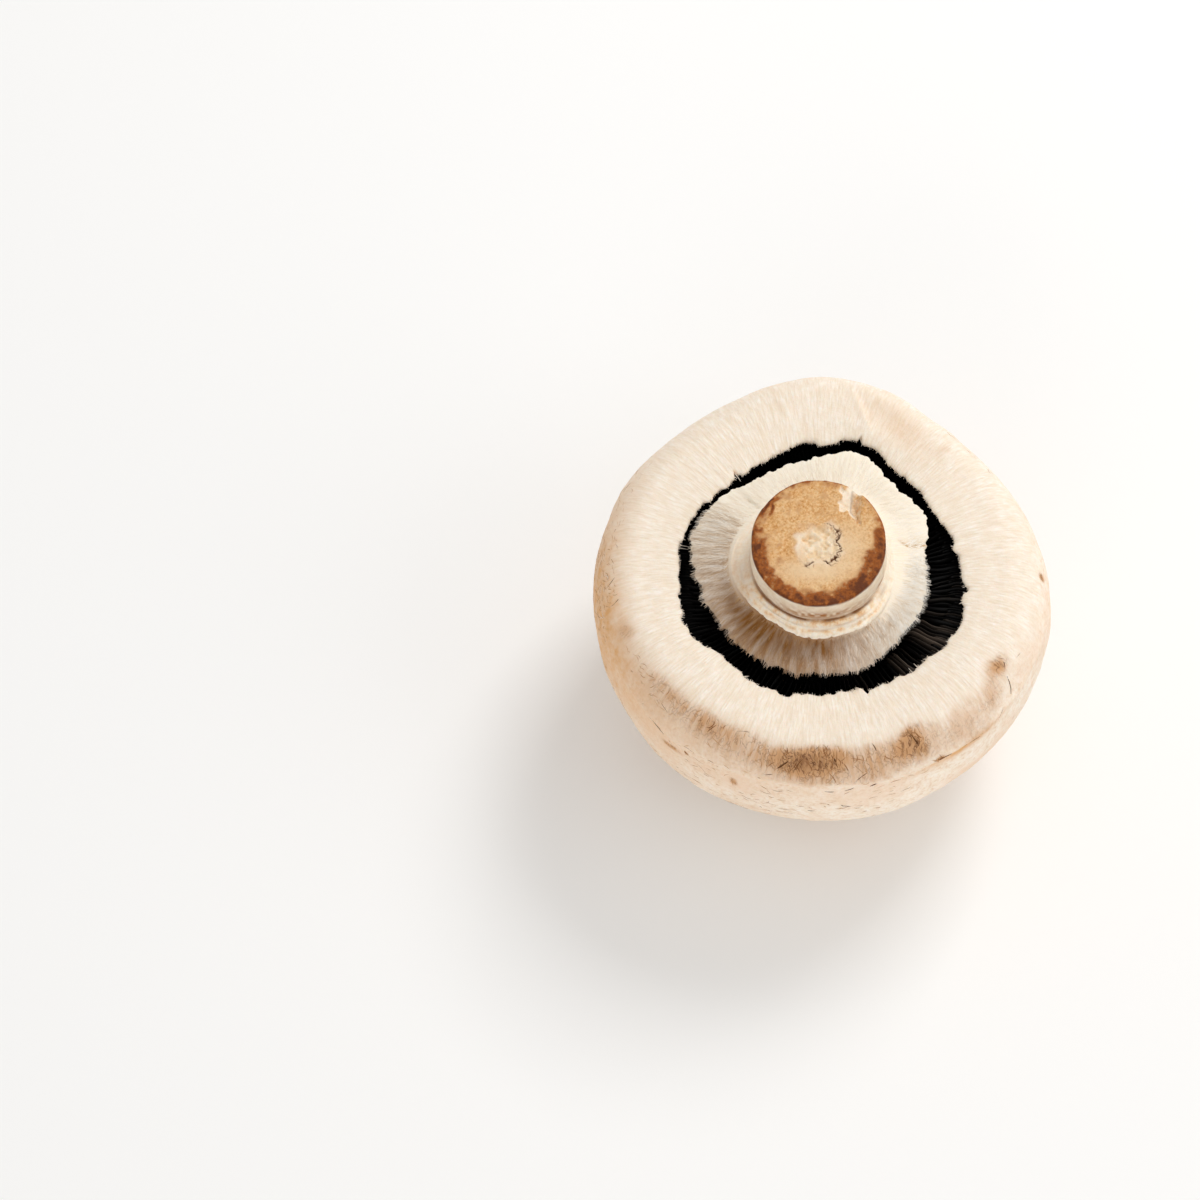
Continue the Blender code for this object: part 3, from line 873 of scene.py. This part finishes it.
def chip_depth(u, v):
    """Depth of the chip below the cut: the least of three sloping faces, on its left, right and inside."""
    flat = np.stack([u, v, 0 * u], -1)
    rough = 0.5 * cloud(flat, 0.9, 44) + 0.3 * cloud(flat, 0.4, 47)
    outward_by = u * np.cos(CHIP_AZIMUTH) + v * np.sin(CHIP_AZIMUTH) + rough
    left = (u + rough - CHIP_LEFT - 0.4 * (v - CHIP_START)) / (CHIP_VALLEY - CHIP_LEFT)
    right = (CHIP_RIGHT - u - rough) / (CHIP_RIGHT - CHIP_VALLEY)
    inner = (outward_by - CHIP_START) / CHIP_SLOPE
    return CHIP_DEPTH * np.clip(np.minimum(np.minimum(left, right), inner), 0, 1)


def browned(u, v, rough, mid, fine):
    """Share of the brown that has dried into the rim: broad on the low side, with streaks and freckles."""
    radius = np.hypot(u, v) + 0.4 * rough + 0.2 * mid
    azimuth = np.arctan2(v, u)
    low_side = facing(azimuth, 285, 62)
    left = facing(azimuth, 190, 48)
    right = facing(azimuth, 338, 28)
    band = 0.5 + 1.4 * low_side + 0.75 * left + 1.2 * right
    inner = radius - (CUT_RADIUS - band)
    brown = ease(-0.9, 0.9, inner) * (0.3 + 0.75 * low_side + 0.55 * left + 0.45 * right)
    brown = brown + 0.22 * left * ease(-3.5, 0, inner) + 0.35 * low_side * ease(0.3, 1.3, inner)
    brown = brown + 0.6 * facing(azimuth, 14, 20) * ease(-0.6, 0.4, inner)
    brown = brown + 0.5 * facing(azimuth, 77, 4) * hill(8.0, 0.6, radius)
    streak = hill(7.6 + 0.4 * np.sin(9 * azimuth), 0.22, radius) + hill(8.3, 0.18, radius)
    brown = brown + 1.3 * streak * facing(azimuth, 139, 9)
    brown = brown + 0.3 * ease(8.35, 8.6, np.hypot(u, v))
    brown = brown + 0.2 * ease(-0.1, 1.1, mid + fine) * ease(-5, 3, v - u)
    return brown * (1 + 0.2 * mid + 0.2 * fine)


def cut_marks(u, v):
    """Named values on the cut face: brown rim, pale flesh with painted light on the chip's lit facet, dark
    cracks with painted shade in the chip's valley, grey pith, relief and chip.
    """
    flat = np.stack([u, v, 0 * u], -1)
    rough = cloud(flat, 1.6, 41)
    mid = cloud(flat, 0.8, 45)
    fine = cloud(flat, 0.4, 42)
    from_pith = np.hypot(u - PITH[0], v - PITH[1])
    pith_turn = np.arctan2(v - PITH[1], u - PITH[0])
    ring = from_pith - PITH_RING - 0.5 * rough - 0.3 * mid
    cracked = within(pith_turn, -22, 78, 100)
    near_ring = hill(0, 0.55, ring)
    split = hill(0, 0.11, ring + 0.25 * fine) + hill(0, 0.09, mid + 0.6 * fine) * hill(0.1, 0.5, ring)
    crack = split * (0.15 + 0.85 * cracked) * ease(-0.35, 0.1, rough + 0.5 * fine + 0.25 * cracked)
    ridge = hill(-0.15, 0.4, ring) * facing(pith_turn, 175, 55)
    hollow = 1 - ease(-1.1, 0.0, ring)
    chip = chip_depth(u, v)
    facet = ease(0.02, 0.35, chip)
    # The chip's facet left of its valley faces the lamp and is painted paler: painted light on top of the
    # paler fresh flesh.
    painted_lit_facet = ease(-0.5, 0.3, CHIP_VALLEY - u - 0.4 * mid)
    pale = facet * (0.25 + 0.75 * painted_lit_facet + 0.35 * fine + 0.2 * mid) + 0.8 * ridge
    pale = np.clip(pale + 0.4 * near_ring * cracked + hollow * (0.25 + 0.5 * fine), 0, 1)
    # A dark line along the chip's valley is painted shade.
    crack = crack + 0.4 * hill(0, 0.14, u - CHIP_VALLEY + 0.3 * mid) * ease(0.3, 0.9, chip)
    crack = np.clip(crack, 0, 1)
    grey = 0.85 * hollow + 0.6 * hill(0, 3.0, np.hypot(u - 3.6, v + 0.6))
    grey = grey + 0.75 * hill(0, 1.5, v + 4.0) * hill(-0.8, 4.6, u)
    height = (0.05 * fine + 0.06 * mid + 0.08 * rough - 0.35 * hollow - 0.4 * crack
              + 0.35 * near_ring * (0.3 + 0.7 * cracked) * np.abs(fine + mid) + 0.25 * ridge
              + 0.22 * hollow * (fine + 0.6 * mid))
    brown = browned(u, v, rough, mid, fine)
    return brown * (1 - 0.85 * facet), pale, crack, grey, height * (1 - facet), chip


# %% Stem surface
STEM_LINE = np.array([
    (0, CUT_Z), (CUT_RADIUS - 0.3, CUT_Z), (CUT_RADIUS, CUT_Z - 0.3), (CUT_RADIUS + 0.1, GROOVE_Z + 0.9),
    (CUT_RADIUS + 0.05, GROOVE_Z + 0.35), (CUT_RADIUS - 0.2, GROOVE_Z), (CUT_RADIUS + 0.1, GROOVE_Z - 0.35),
    (STEM_RADIUS, GROOVE_Z - 0.8), (STEM_RADIUS, 22), (STEM_RADIUS + 0.3, SEAT_Z + 0.6),
    (STEM_RADIUS, SEAT_Z), (0, SEAT_Z),
])
STEM_SPACINGS = (0.12, 1.2)
STEM_FINE_TO = 14.5


def build_stem():
    """The cut face from its centre outwards, then the rim, the side with its groove, and the hidden seat."""
    bounds = (STEM_SPACINGS[0], STEM_FINE_TO, length_along(STEM_LINE)[-1] - 0.2)
    rows = spaced(bounds, STEM_SPACINGS)
    azimuth = gridded(rows, STEM_COLUMNS)[1]
    radius, z = (gridded(values, STEM_COLUMNS)[0] for values in sampled(STEM_LINE, rows, 0.12))
    down = CUT_Z - z
    on_cut = 1 - ease(0.2, 1.2, down)
    wobble = cloud(np.stack([3 * np.cos(azimuth), 3 * np.sin(azimuth), z / 3], -1), 1, 43)
    radius = radius + 0.14 * wobble * ease(3, 8, radius) * (1 - ease(5, 6, down))
    left = facing(azimuth, 225, 40)
    radius = radius - 0.25 * left * hill(GROOVE_Z, 0.3, z)
    brown, pale, crack, grey, height, chip = cut_marks(radius * np.cos(azimuth), radius * np.sin(azimuth))
    oval = 0.5 * np.sin(azimuth) ** 2 * radius / CUT_RADIUS * ease(34.5, 40, z)
    grid = grown(radius + oval, azimuth, z)
    grid[..., 2] += height * on_cut
    grid[..., 2] = np.where(down < 2.5, np.minimum(grid[..., 2], CUT_Z - chip), grid[..., 2])
    broken = 0.55 + 0.5 * streaks(azimuth, z, 0.9, 1, STEM_GIRTH, 46) + 0.5 * left
    specks = 0.7 + 0.9 * streaks(azimuth, z, 0.4, 0.6, STEM_GIRTH, 48)
    stained = hill(37.3, 1.0, z) * facing(azimuth, 272, 38) * np.clip(specks, 0, 1)
    stained = stained + 0.9 * hill(36.6, 0.5, z) * facing(azimuth, 333, 6)
    stained = stained + 0.5 * hill(36.8, 0.6, z) * facing(azimuth, 358, 9)
    thin_line = hill(GROOVE_Z + 0.2 + 0.15 * wobble, 0.35, z)
    groove = thin_line * (1 - ease(7, 8, down)) * np.clip(broken, 0, 1.2)
    fields = {
        "cut": 1 - ease(0.2, 0.5, down + 0.15 * wobble),
        "brown": brown,
        "pale": pale,
        "crack": crack * on_cut,
        "grey": grey,
        "groove": np.clip(groove + stained, 0, 1),
        "below": ease(0, 0.5, GROOVE_Z - z),
        # Near-black low on the side under the skirt: spore dust and painted shade.
        "hidden": ease(2.8, 3.4, GROOVE_Z - z),
    }
    return wrapped("cut_stem", grid, fields)


# %% [markdown]
# The dried face is granular, like coarse cork: bright and dark grains of a few tenths of a millimetre over
# the tan, with freckles of brown near the rim. The side of the stem is pale, and has a thin brown line in its
# groove.

# %% Stem material
def stem_flesh():
    """A tan crust with coats for its rust rim, pale pith and dark cracks, and the pale side below it, painted
    near-black low down for spore dust and shade under the skirt.
    """
    made, tree, shader = flesh("Drying stem flesh", 0.6, 0.08)
    place = add(tree, "TexCoord", out="Object")
    mm = add(tree, "Mapping", {"Vector": place, "Scale": PER_MM})
    cut, brown, pale, crack, grey, groove, below, hidden = (
        add(tree, "Attribute", out="Fac", attribute_name=name)
        for name in ("cut", "brown", "pale", "crack", "grey", "groove", "below", "hidden"))
    grains, mottle = (add(tree, "TexNoise", dict(zip(NOISE, row)))
                      for row in ((mm, 1 / 0.3, 3, 0.6), (mm, 1 / 1.4, 5, 0.65)))
    pits = add(tree, "TexVoronoi", {"Vector": mm, "Scale": 1 / 0.55}, "Distance")

    crust = add(tree, "ValToRGB", (grains,),
                stops=((0.3, "#B87F42"), (0.5, "#D8A56A"), (0.7, "#ECC998")))
    light = add(tree, "MapRange", (mottle, 0.42, 0.66, 0, 0.4), interpolation_type="SMOOTHSTEP")
    pitted = add(tree, "MapRange", (pits, 0.1, 0.28, 0.45, 0), interpolation_type="SMOOTHSTEP")
    spread = add(tree, "MapRange", (mottle, 0.34, 0.66, 0.4, 1.45))
    rim = add(tree, "Math", (brown, spread), operation="MULTIPLY")
    freckled = add(tree, "Math", (grains, 0.9, -0.45), operation="MULTIPLY_ADD")
    rim = add(tree, "Math", (rim, freckled), operation="ADD")
    orange = add(tree, "MapRange", (rim, 0.0, 0.85, 0, 0.98), interpolation_type="SMOOTHSTEP")
    deep = add(tree, "MapRange", (rim, 0.85, 1.7, 0, 0.85), interpolation_type="SMOOTHSTEP")
    rust = add(tree, "ValToRGB", (grains,), stops=((0.3, "#6E340A"), (0.7, "#AC5E1A")))
    for share, coat in ((light, "#E9C798"), (pitted, "#B07E4A"), (grey, "#E9CDA6"), (orange, rust),
                        (deep, "#54260C"), (pale, "#F6E8D2"), (crack, "#6E4424")):
        crust = add(tree, "Mix", {0: share, 6: crust, 7: coat}, 2, data_type="RGBA")

    colour = add(tree, "ValToRGB", (mottle,), stops=((0.3, "#E2CBAC"), (0.6, "#F2E4CF")))
    tan_wash = add(tree, "ValToRGB", (mottle,), stops=((0.35, "#CDAA82"), (0.6, "#E8D2B4")))
    # The hidden coat is near-black: spore dust and painted shade under the skirt.
    for share, coat in ((below, tan_wash), (groove, "#A66C38"), (hidden, "#1A120E"), (cut, crust)):
        colour = add(tree, "Mix", {0: share, 6: colour, 7: coat}, 2, data_type="RGBA")
    bump = add(tree, "Bump", {"Height": grains, "Strength": 0.4, "Distance": 0.15 * MM})
    tree.links.new(bump, shader.inputs["Normal"])
    tree.links.new(colour, shader.inputs["Base Color"])
    return made


show("cut_stem", build_stem(), stem_flesh(), "stem_flesh", "stem")

# %% [markdown]
# ## Collar and skirt
#
# The stem's share of the veil is a collar with a knobbly white lower edge on the near side, and a skirt of
# combed threads that spreads from under it. Towards the far side the collar dies away into a smooth flap
# with two folds. Two profiles, near and far, are blended by the azimuth.

# %% Veil surface
VEIL_COLUMNS = 720
VEIL_SPACINGS = (0.5, 0.13, 0.8)
VEIL_FINE_FROM = 3.5
NEAR_PROFILE = np.array([
    (9.3, 31.6), (8.4, 33.4), (8.4, 35.5), (8.8, 35.7), (9.2, 35.45), (9.5, 35.2), (9.7, 35.3), (9.9, 35.0),
    (10.2, 34.7), (10.5, 34.5), (10.45, 34.2), (10.25, 33.95), (10.2, 33.65), (10.5, 33.4), (12.2, 33.2),
    (13.9, 33.25), (15.0, 33.1), (SKIRT_RADIUS, 32.8), (15.3, 32.5), (13.0, 32.2), (11.0, 31.8),
])
FAR_PROFILE = np.array([
    (9.3, 31.6), (8.4, 33.4), (8.4, 35.6), (8.8, 35.8), (9.15, 35.45), (9.4, 35.15), (9.6, 34.95),
    (9.8, 34.75), (10.05, 34.55), (10.3, 34.4), (10.55, 34.2), (10.8, 34.1), (11.05, 34.0), (11.6, 33.8),
    (12.6, 33.55), (13.9, 33.4), (15.0, 33.15), (SKIRT_RADIUS, 32.85), (15.3, 32.5), (13.0, 32.2),
    (11.0, 31.8),
])
VEIL_LENGTH = length_along(NEAR_PROFILE)
CREASE_AT, PATCH_AT, RIDGE_AT, EDGE_AT, TIP_AT = VEIL_LENGTH[[3, 5, 6, 9, 17]]
SKIRT_AT = EDGE_AT + 1.0
print("the skirt is", round(TIP_AT - SKIRT_AT, 1), "mm wide from the collar to its torn edge")


def furry(azimuth):
    """1 where the skirt is fur and 0 on the smooth far flap."""
    return ease(np.radians(62), np.radians(80), np.abs(off(azimuth, np.radians(75))))


def near_side(azimuth):
    """1 where the collar stands proud and 0 where it has died away."""
    return within(azimuth, 266, 38, 84)


def skirt_radius(radius, azimuth):
    """Stretches the true skirt to its torn edge, the more so the further out."""
    return radius + ease(11.4, SKIRT_RADIUS, radius) * (around(SKIRT_EDGE, azimuth) - SKIRT_RADIUS)


def collar_pull(radius, azimuth):
    """Moves the collar's edge out or in to its measured outline."""
    return (around(COLLAR_EDGE, azimuth) - 10.5) * hill(10.5, 1.1, radius)


def collar_shade(azimuth):
    """How much the roots of the fur are browned, most of all under the collar and less to its left and right:
    partly the fibres' own brown and partly painted shade cast by the collar.
    """
    past = off(azimuth, np.radians(246))
    spread = np.where(past < 0, np.radians(58), np.radians(50))
    return furry(azimuth) * np.minimum(1.25 * hill(0, spread, past), 1)


def past_fold(azimuth, radius):
    """Angle past the right fold of the far flap, which slants near the collar."""
    return off(azimuth, np.radians(14 + 8 * (1 - ease(10.3, 12.2, radius))))


def fold_depth(azimuth, radius):
    """Two folds of the far flap, near its right and left ends."""
    past = past_fold(azimuth, radius)
    right = 0.28 * ease(np.radians(-1.6), 0, past) * (1 - ease(0, np.radians(8), past))
    past = off(azimuth, np.radians(131))
    left = 0.35 * ease(0, np.radians(2.5), past) * (1 - ease(np.radians(2.5), np.radians(22), past))
    return right, left


def build_veil():
    """The veil's grid as a closed ring of rows, its rows, and its named values. Fold is the brown line of the
    right fold with painted shade over its dent, and painted shade on the skirt's low left side."""
    rows = spaced((0.2, VEIL_FINE_FROM, TIP_AT + 0.6, VEIL_LENGTH[-1]), VEIL_SPACINGS)
    near_r, near_z = sampled(NEAR_PROFILE, rows, 0.12)
    far_r, far_z = sampled(FAR_PROFILE, rows, 0.3, measure=VEIL_LENGTH)
    travel, azimuth = gridded(rows, VEIL_COLUMNS)
    share = near_side(azimuth)
    radius = far_r[:, None] + (near_r - far_r)[:, None] * share
    z = far_z[:, None] + (near_z - far_z)[:, None] * share
    knobs = jagged(azimuth, 1.6, COLLAR_GIRTH, 58)
    fray = jagged(azimuth, 0.7, EDGE_GIRTH, 51) + 0.6 * jagged(azimuth, 0.32, EDGE_GIRTH, 54)
    thread = jagged(azimuth, 0.8, SKIRT_GIRTH, 52) + 0.7 * jagged(azimuth, 0.3, SKIRT_GIRTH, 55)
    torn = jagged(azimuth, 2.2, SKIRT_GIRTH, 59)
    at_edge = hill(EDGE_AT, 0.4, travel) * share
    at_ridge = hill(RIDGE_AT, 0.25, travel) * share
    at_tip = ease(TIP_AT - 0.8, TIP_AT, travel) * (1 - ease(TIP_AT + 0.5, TIP_AT + 1.5, travel))
    on_skirt = ease(EDGE_AT + 0.8, EDGE_AT + 1.4, travel) * (1 - ease(TIP_AT - 0.2, TIP_AT + 0.4, travel))
    pleat = streaks(azimuth, travel, 0.45, 3, PLEAT_GIRTH, 53)
    z = z + (0.2 * np.abs(fray) + 0.08 * knobs) * at_edge + 0.07 * pleat * at_ridge
    pleated = on_skirt * pleat * (0.02 + 0.05 * furry(azimuth))
    z = z + pleated + 0.1 * on_skirt * cloud(grown(radius, azimuth, z), 3, 56)
    right, left = fold_depth(azimuth, radius)
    z = z - on_skirt * (right * hill(12.8, 1.6, radius) + left * hill(13.0, 1.8, radius))
    granular = 0.05 * cloud(grown(radius, azimuth, z), 0.5, 57)
    rings = streaks(azimuth, travel, 5, 0.34, COLLAR_GIRTH, 61)
    granular = granular + 0.15 * rings * furry(azimuth - 0.3)
    granular = granular * ease(8.9, 9.3, radius) * (1 - ease(EDGE_AT + 0.2, EDGE_AT + 0.7, travel))
    radius = skirt_radius(radius + collar_pull(radius, azimuth), azimuth)
    radius = radius + (0.26 * thread + 0.2 * torn) * at_tip + (0.16 * fray + 0.1 * knobs) * at_edge
    grid = grown(radius, azimuth, z + granular)
    collar = (1 - ease(EDGE_AT + 0.1, EDGE_AT + 0.5, travel)) * (0.25 + 0.75 * share)
    patchy = np.clip(0.75 + 0.8 * jagged(azimuth, 1.3, STEM_GIRTH, 60), 0, 1)
    low_left = facing(azimuth, 222, 45)
    crease = hill(CREASE_AT + 0.1, 0.22 + 0.08 * knobs, travel)
    crease = crease * np.clip(share * patchy + 0.7 * low_left, 0, 1)
    crease = crease + 0.6 * (facing(azimuth, 332, 7) * hill(PATCH_AT, 0.35, travel))
    crease = crease + 0.2 * ease(0.2, 0.6, -rings) * (1 - ease(EDGE_AT - 0.4, EDGE_AT, travel)) * share
    past = past_fold(azimuth, radius)
    # The brown line of the right fold plus painted shade over its dent, and painted shade on the skirt's low
    # left side.
    fold_line_and_shade = 0.9 * hill(np.radians(-0.6), np.radians(1.1), past) + 1.2 * right
    painted_low_left_shade = 1.2 * low_left * hill(13, 2, radius)
    fields = {
        "grain": spun(azimuth, travel, 0.28, 2.5, FUR_GIRTH),
        "collar": collar,
        "crease": np.clip(crease, 0, 1),
        "edge": np.clip(at_edge + 0.8 * at_ridge, 0, 1),
        "tip": ease(SKIRT_AT, TIP_AT, travel),
        "shade": collar_shade(azimuth),
        "tone": 0.5 + 0 * travel,
        "fold": np.clip(fold_line_and_shade * hill(12.8, 2.0, radius) + painted_low_left_shade, 0, 1) * on_skirt,
    }
    return grid, rows, fields


# %% Veil material
def torn_veil():
    """Silky white threads on the skirt, brown at their roots partly in their own colour and partly as painted
    shade under the collar, and a dry tan band for the collar.
    """
    made, tree, shader = flesh("Torn veil fibres", 0.75, 0.08)
    place = add(tree, "TexCoord", out="Object")
    mm = add(tree, "Mapping", {"Vector": place, "Scale": PER_MM})
    grain = add(tree, "Attribute", out="Vector", attribute_name="grain")
    collar, crease, edge, tip, shade, tone, fold = (
        add(tree, "Attribute", out="Fac", attribute_name=name)
        for name in ("collar", "crease", "edge", "tip", "shade", "tone", "fold"))
    fibre, mottle = (add(tree, "TexNoise", dict(zip(NOISE, row)))
                     for row in ((grain, 1, 2, 0.6), (mm, 1 / 0.9, 4, 0.6)))
    silk = add(tree, "ValToRGB", (fibre,),
               stops=((0.3, "#EFE0C8"), (0.55, "#F9EEDC"), (0.7, "#FDF6EA")))
    toned = add(tree, "ValToRGB", (tone,),
                stops=((0.0, "#C09A6C"), (0.5, "#FAEEDA"), (1.0, "#FFFDF8")))
    band = add(tree, "ValToRGB", (mottle,),
               stops=((0.34, "#EBBA86"), (0.48, "#FBE0BC"), (0.62, "#FFF4E2")))
    for share, coat in ((edge, "#FFF3E0"), (crease, "#85562E")):
        band = add(tree, "Mix", {0: share, 6: band, 7: coat}, 2, data_type="RGBA")
    # The roots are browned partly in their own colour and partly as painted shade under the collar. The fold
    # coat is the brown line of the right fold, with painted shade over the fold's dent and on the skirt's low
    # left side.
    root = add(tree, "MapRange", (tip, 0.3, 1.0, 0.86, 0.6))
    dark = add(tree, "Math", (root, shade), operation="MULTIPLY")
    for share, coat in ((0.6, toned), (dark, "#9E6930"), (fold, "#C09862"), (collar, band)):
        silk = add(tree, "Mix", {0: share, 6: silk, 7: coat}, 2, data_type="RGBA")
    threads = add(tree, "Math", (fibre, mottle), operation="ADD")
    bump = add(tree, "Bump", {"Height": threads, "Strength": 0.4, "Distance": 0.2 * MM})
    tree.links.new(bump, shader.inputs["Normal"])
    tree.links.new(silk, shader.inputs["Base Color"])
    return made


TORN_VEIL = torn_veil()
VEIL_GRID, VEIL_ROWS, veil_fields = build_veil()
show("veil", wrapped("veil", VEIL_GRID, veil_fields, ring=True), TORN_VEIL, "torn_veil", "veil_skirt")

# %% [markdown]
# ## Fur of the skirt
#
# The fur is about ten thousand short strands. Each starts low on the skirt and lies outwards over it, lifts
# a little in the middle and droops at its tip. Neighbours lean together into tufts, and the outermost reach
# past the torn edge.

# %% Strands
STRANDS = 10500
TUFT = np.radians(2.6)
TIP_GAP = 0.15


def fur():
    """Fibres that start on the veil's own grid, run outwards over it and, past its torn edge, straight on."""
    draw = np.random.default_rng(61)
    azimuth = draw.uniform(0, TURN, STRANDS)
    keep = draw.uniform(0, 1, STRANDS) < 0.3 + 0.7 * furry(azimuth)
    azimuth = azimuth[keep][:, None]
    count = len(azimuth)
    t = np.linspace(0, 1, 4)[None]
    fur_here = furry(azimuth)
    start = SKIRT_AT + (TIP_AT - 1.0 - SKIRT_AT) * draw.uniform(0, 1, (count, 1)) ** 0.85
    reach = draw.uniform(1.1, 2.3, (count, 1))
    ragged = 0.25 + 0.3 * jagged(azimuth, 1.1, SKIRT_GIRTH, 62)
    spare = 0.02 + (ragged + 0.35 * draw.uniform(0, 1, (count, 1))) * fur_here
    travel = start + np.minimum(reach, TIP_AT - TIP_GAP + spare - start) * t
    past = np.maximum(travel - TIP_AT + TIP_GAP, 0)
    pull = (np.round(azimuth / TUFT) * TUFT - azimuth) * 0.5 * ease(SKIRT_AT, TIP_AT, travel)
    sweep = 0.05 * jagged(azimuth, 5, FUR_GIRTH, 63)
    azimuth = azimuth + pull + (draw.normal(0, 0.02, (count, 1)) + sweep) * t
    lift = draw.uniform(0.02, 0.16, (count, 1)) * (0.2 + 0.8 * fur_here)
    line = on_surface(VEIL_GRID, VEIL_ROWS, azimuth, travel - past)
    line = line + past[..., None] * np.stack([np.cos(azimuth), np.sin(azimuth), -0.3 + 0 * azimuth], -1)
    line[..., 2] += lift * (2.4 * t - 1.7 * t ** 2) - 0.02
    thick = draw.uniform(0.03, 0.065, (count, 1)) * (1 - 0.75 * t)
    # Streaky noise that darkens and browns some bands of strands and lightens others: painted shade between
    # tufts.
    painted_tuft_gap_shade = 0.35 * streaks(azimuth, travel, 0.5, 2.5, FUR_GIRTH, 64)
    # A higher tone towards the right is painted light on the side of the skirt that the lamps light.
    painted_right_light = 0.35 * facing(azimuth, 350, 50)
    uneven = draw.uniform(-0.45, 0.45, (count, 1)) + painted_tuft_gap_shade
    fields = {
        "tip": ease(SKIRT_AT, TIP_AT, travel),
        "shade": collar_shade(azimuth) * (1 - painted_tuft_gap_shade),
        "tone": 0.5 + uneven * (0.35 + 0.65 * fur_here) + painted_right_light,
    }
    return strands("skirt_fur", line, thick, fields, up_at=-0.25)


show("skirt_fur", fur(), TORN_VEIL, "torn_veil").data.shade_flat()

# %% [markdown]
# ## Floor, light and camera
#
# The mushroom lies on a plain pale sweep in high-key light. A large soft lamp stands behind it and to the
# right, so that the collar shades the near part of the skirt, and weaker ones fill from the front and the
# right. The camera looks down at 63 degrees with a long lens, and is turned so that the mushroom stands
# right of the middle.

# %% Floor and light
FLOOR_REACH = 1.5


def floor():
    """A square of matte white paper, far wider than the view."""
    mesh = bpy.data.meshes.new("pale_floor")
    corners = [(x * FLOOR_REACH, y * FLOOR_REACH, 0) for x, y in ((-1, -1), (1, -1), (1, 1), (-1, 1))]
    mesh.from_pydata(corners, [], [(0, 1, 2, 3)])
    paper = bpy.data.materials.new("White seamless paper")
    paper.use_nodes = True
    shader = paper.node_tree.nodes["Principled BSDF"]
    shader.inputs["Base Color"].default_value = linear("#F8F7F5")
    shader.inputs["Roughness"].default_value = 0.9
    mesh.materials.append(paper)
    made = bpy.data.objects.new("pale_floor", mesh)
    bpy.context.scene.collection.objects.link(made)


def lamp(name, azimuth, elevation, distance, size, watts):
    """A square soft light at a direction and distance, aimed at the mushroom."""
    data = bpy.data.lights.new(name, "AREA")
    data.size = size
    data.energy = watts
    made = bpy.data.objects.new(name, data)
    flat = np.cos(np.radians(elevation))
    toward = Vector((flat * np.cos(np.radians(azimuth)), flat * np.sin(np.radians(azimuth)),
                     np.sin(np.radians(elevation))))
    made.location = toward * distance
    made.rotation_mode = "QUATERNION"
    made.rotation_quaternion = toward.to_track_quat("Z", "Y")
    bpy.context.scene.collection.objects.link(made)


# Azimuth and elevation in degrees, distance and width in metres, and watts of each lamp
LAMPS = {
    "key_light": (55, 48, 0.9, 0.35, 3.3),
    "right_fill": (-15, 30, 0.9, 0.6, 1.1),
    "front_fill": (255, 18, 0.9, 0.6, 1.5),
}
WORLD_STRENGTH = 0.64

floor()
for name, settings in LAMPS.items():
    lamp(name, *settings)
world = bpy.data.worlds.new("White studio")
world.use_nodes = True
background = world.node_tree.nodes["Background"]
background.inputs["Color"].default_value = (1, 1, 1, 1)
background.inputs["Strength"].default_value = WORLD_STRENGTH
bpy.context.scene.world = world
bpy.context.scene.view_settings.view_transform = "Standard"
print("lamps:", ", ".join(LAMPS))

# %% Camera
ELEVATION = np.radians(63)

# Metres from the camera to the point that it would look at unturned
DISTANCE = 0.4415
AIM = np.array((0.2, -0.55, WIDEST_Z)) * MM
LENS = 100
SENSOR = 36

# Side of the square picture, and how far right of its middle the mushroom stands, both in pixels
PHOTO_SIDE = 1200
CENTRE_OFFSET = 224

ahead = np.array((0, np.cos(ELEVATION), -np.sin(ELEVATION)))
above = np.array((0, np.sin(ELEVATION), np.cos(ELEVATION)))
swing = np.arctan(CENTRE_OFFSET / (LENS / SENSOR * PHOTO_SIDE))
sight = ahead * np.cos(swing) - np.array((1, 0, 0)) * np.sin(swing)
right = np.cross(sight, above)
lens = bpy.data.cameras.new("photo_camera")
lens.lens = LENS
lens.sensor_width = SENSOR
lens.clip_start = 0.01
camera = bpy.data.objects.new("photo_camera", lens)
camera.matrix_world = Matrix(np.vstack([
    np.column_stack([right, above, -sight, AIM - ahead * DISTANCE]), (0, 0, 0, 1)]).tolist())
bpy.context.scene.collection.objects.link(camera)
bpy.context.scene.camera = camera
print("camera turned by", round(np.degrees(swing), 2), "degrees")
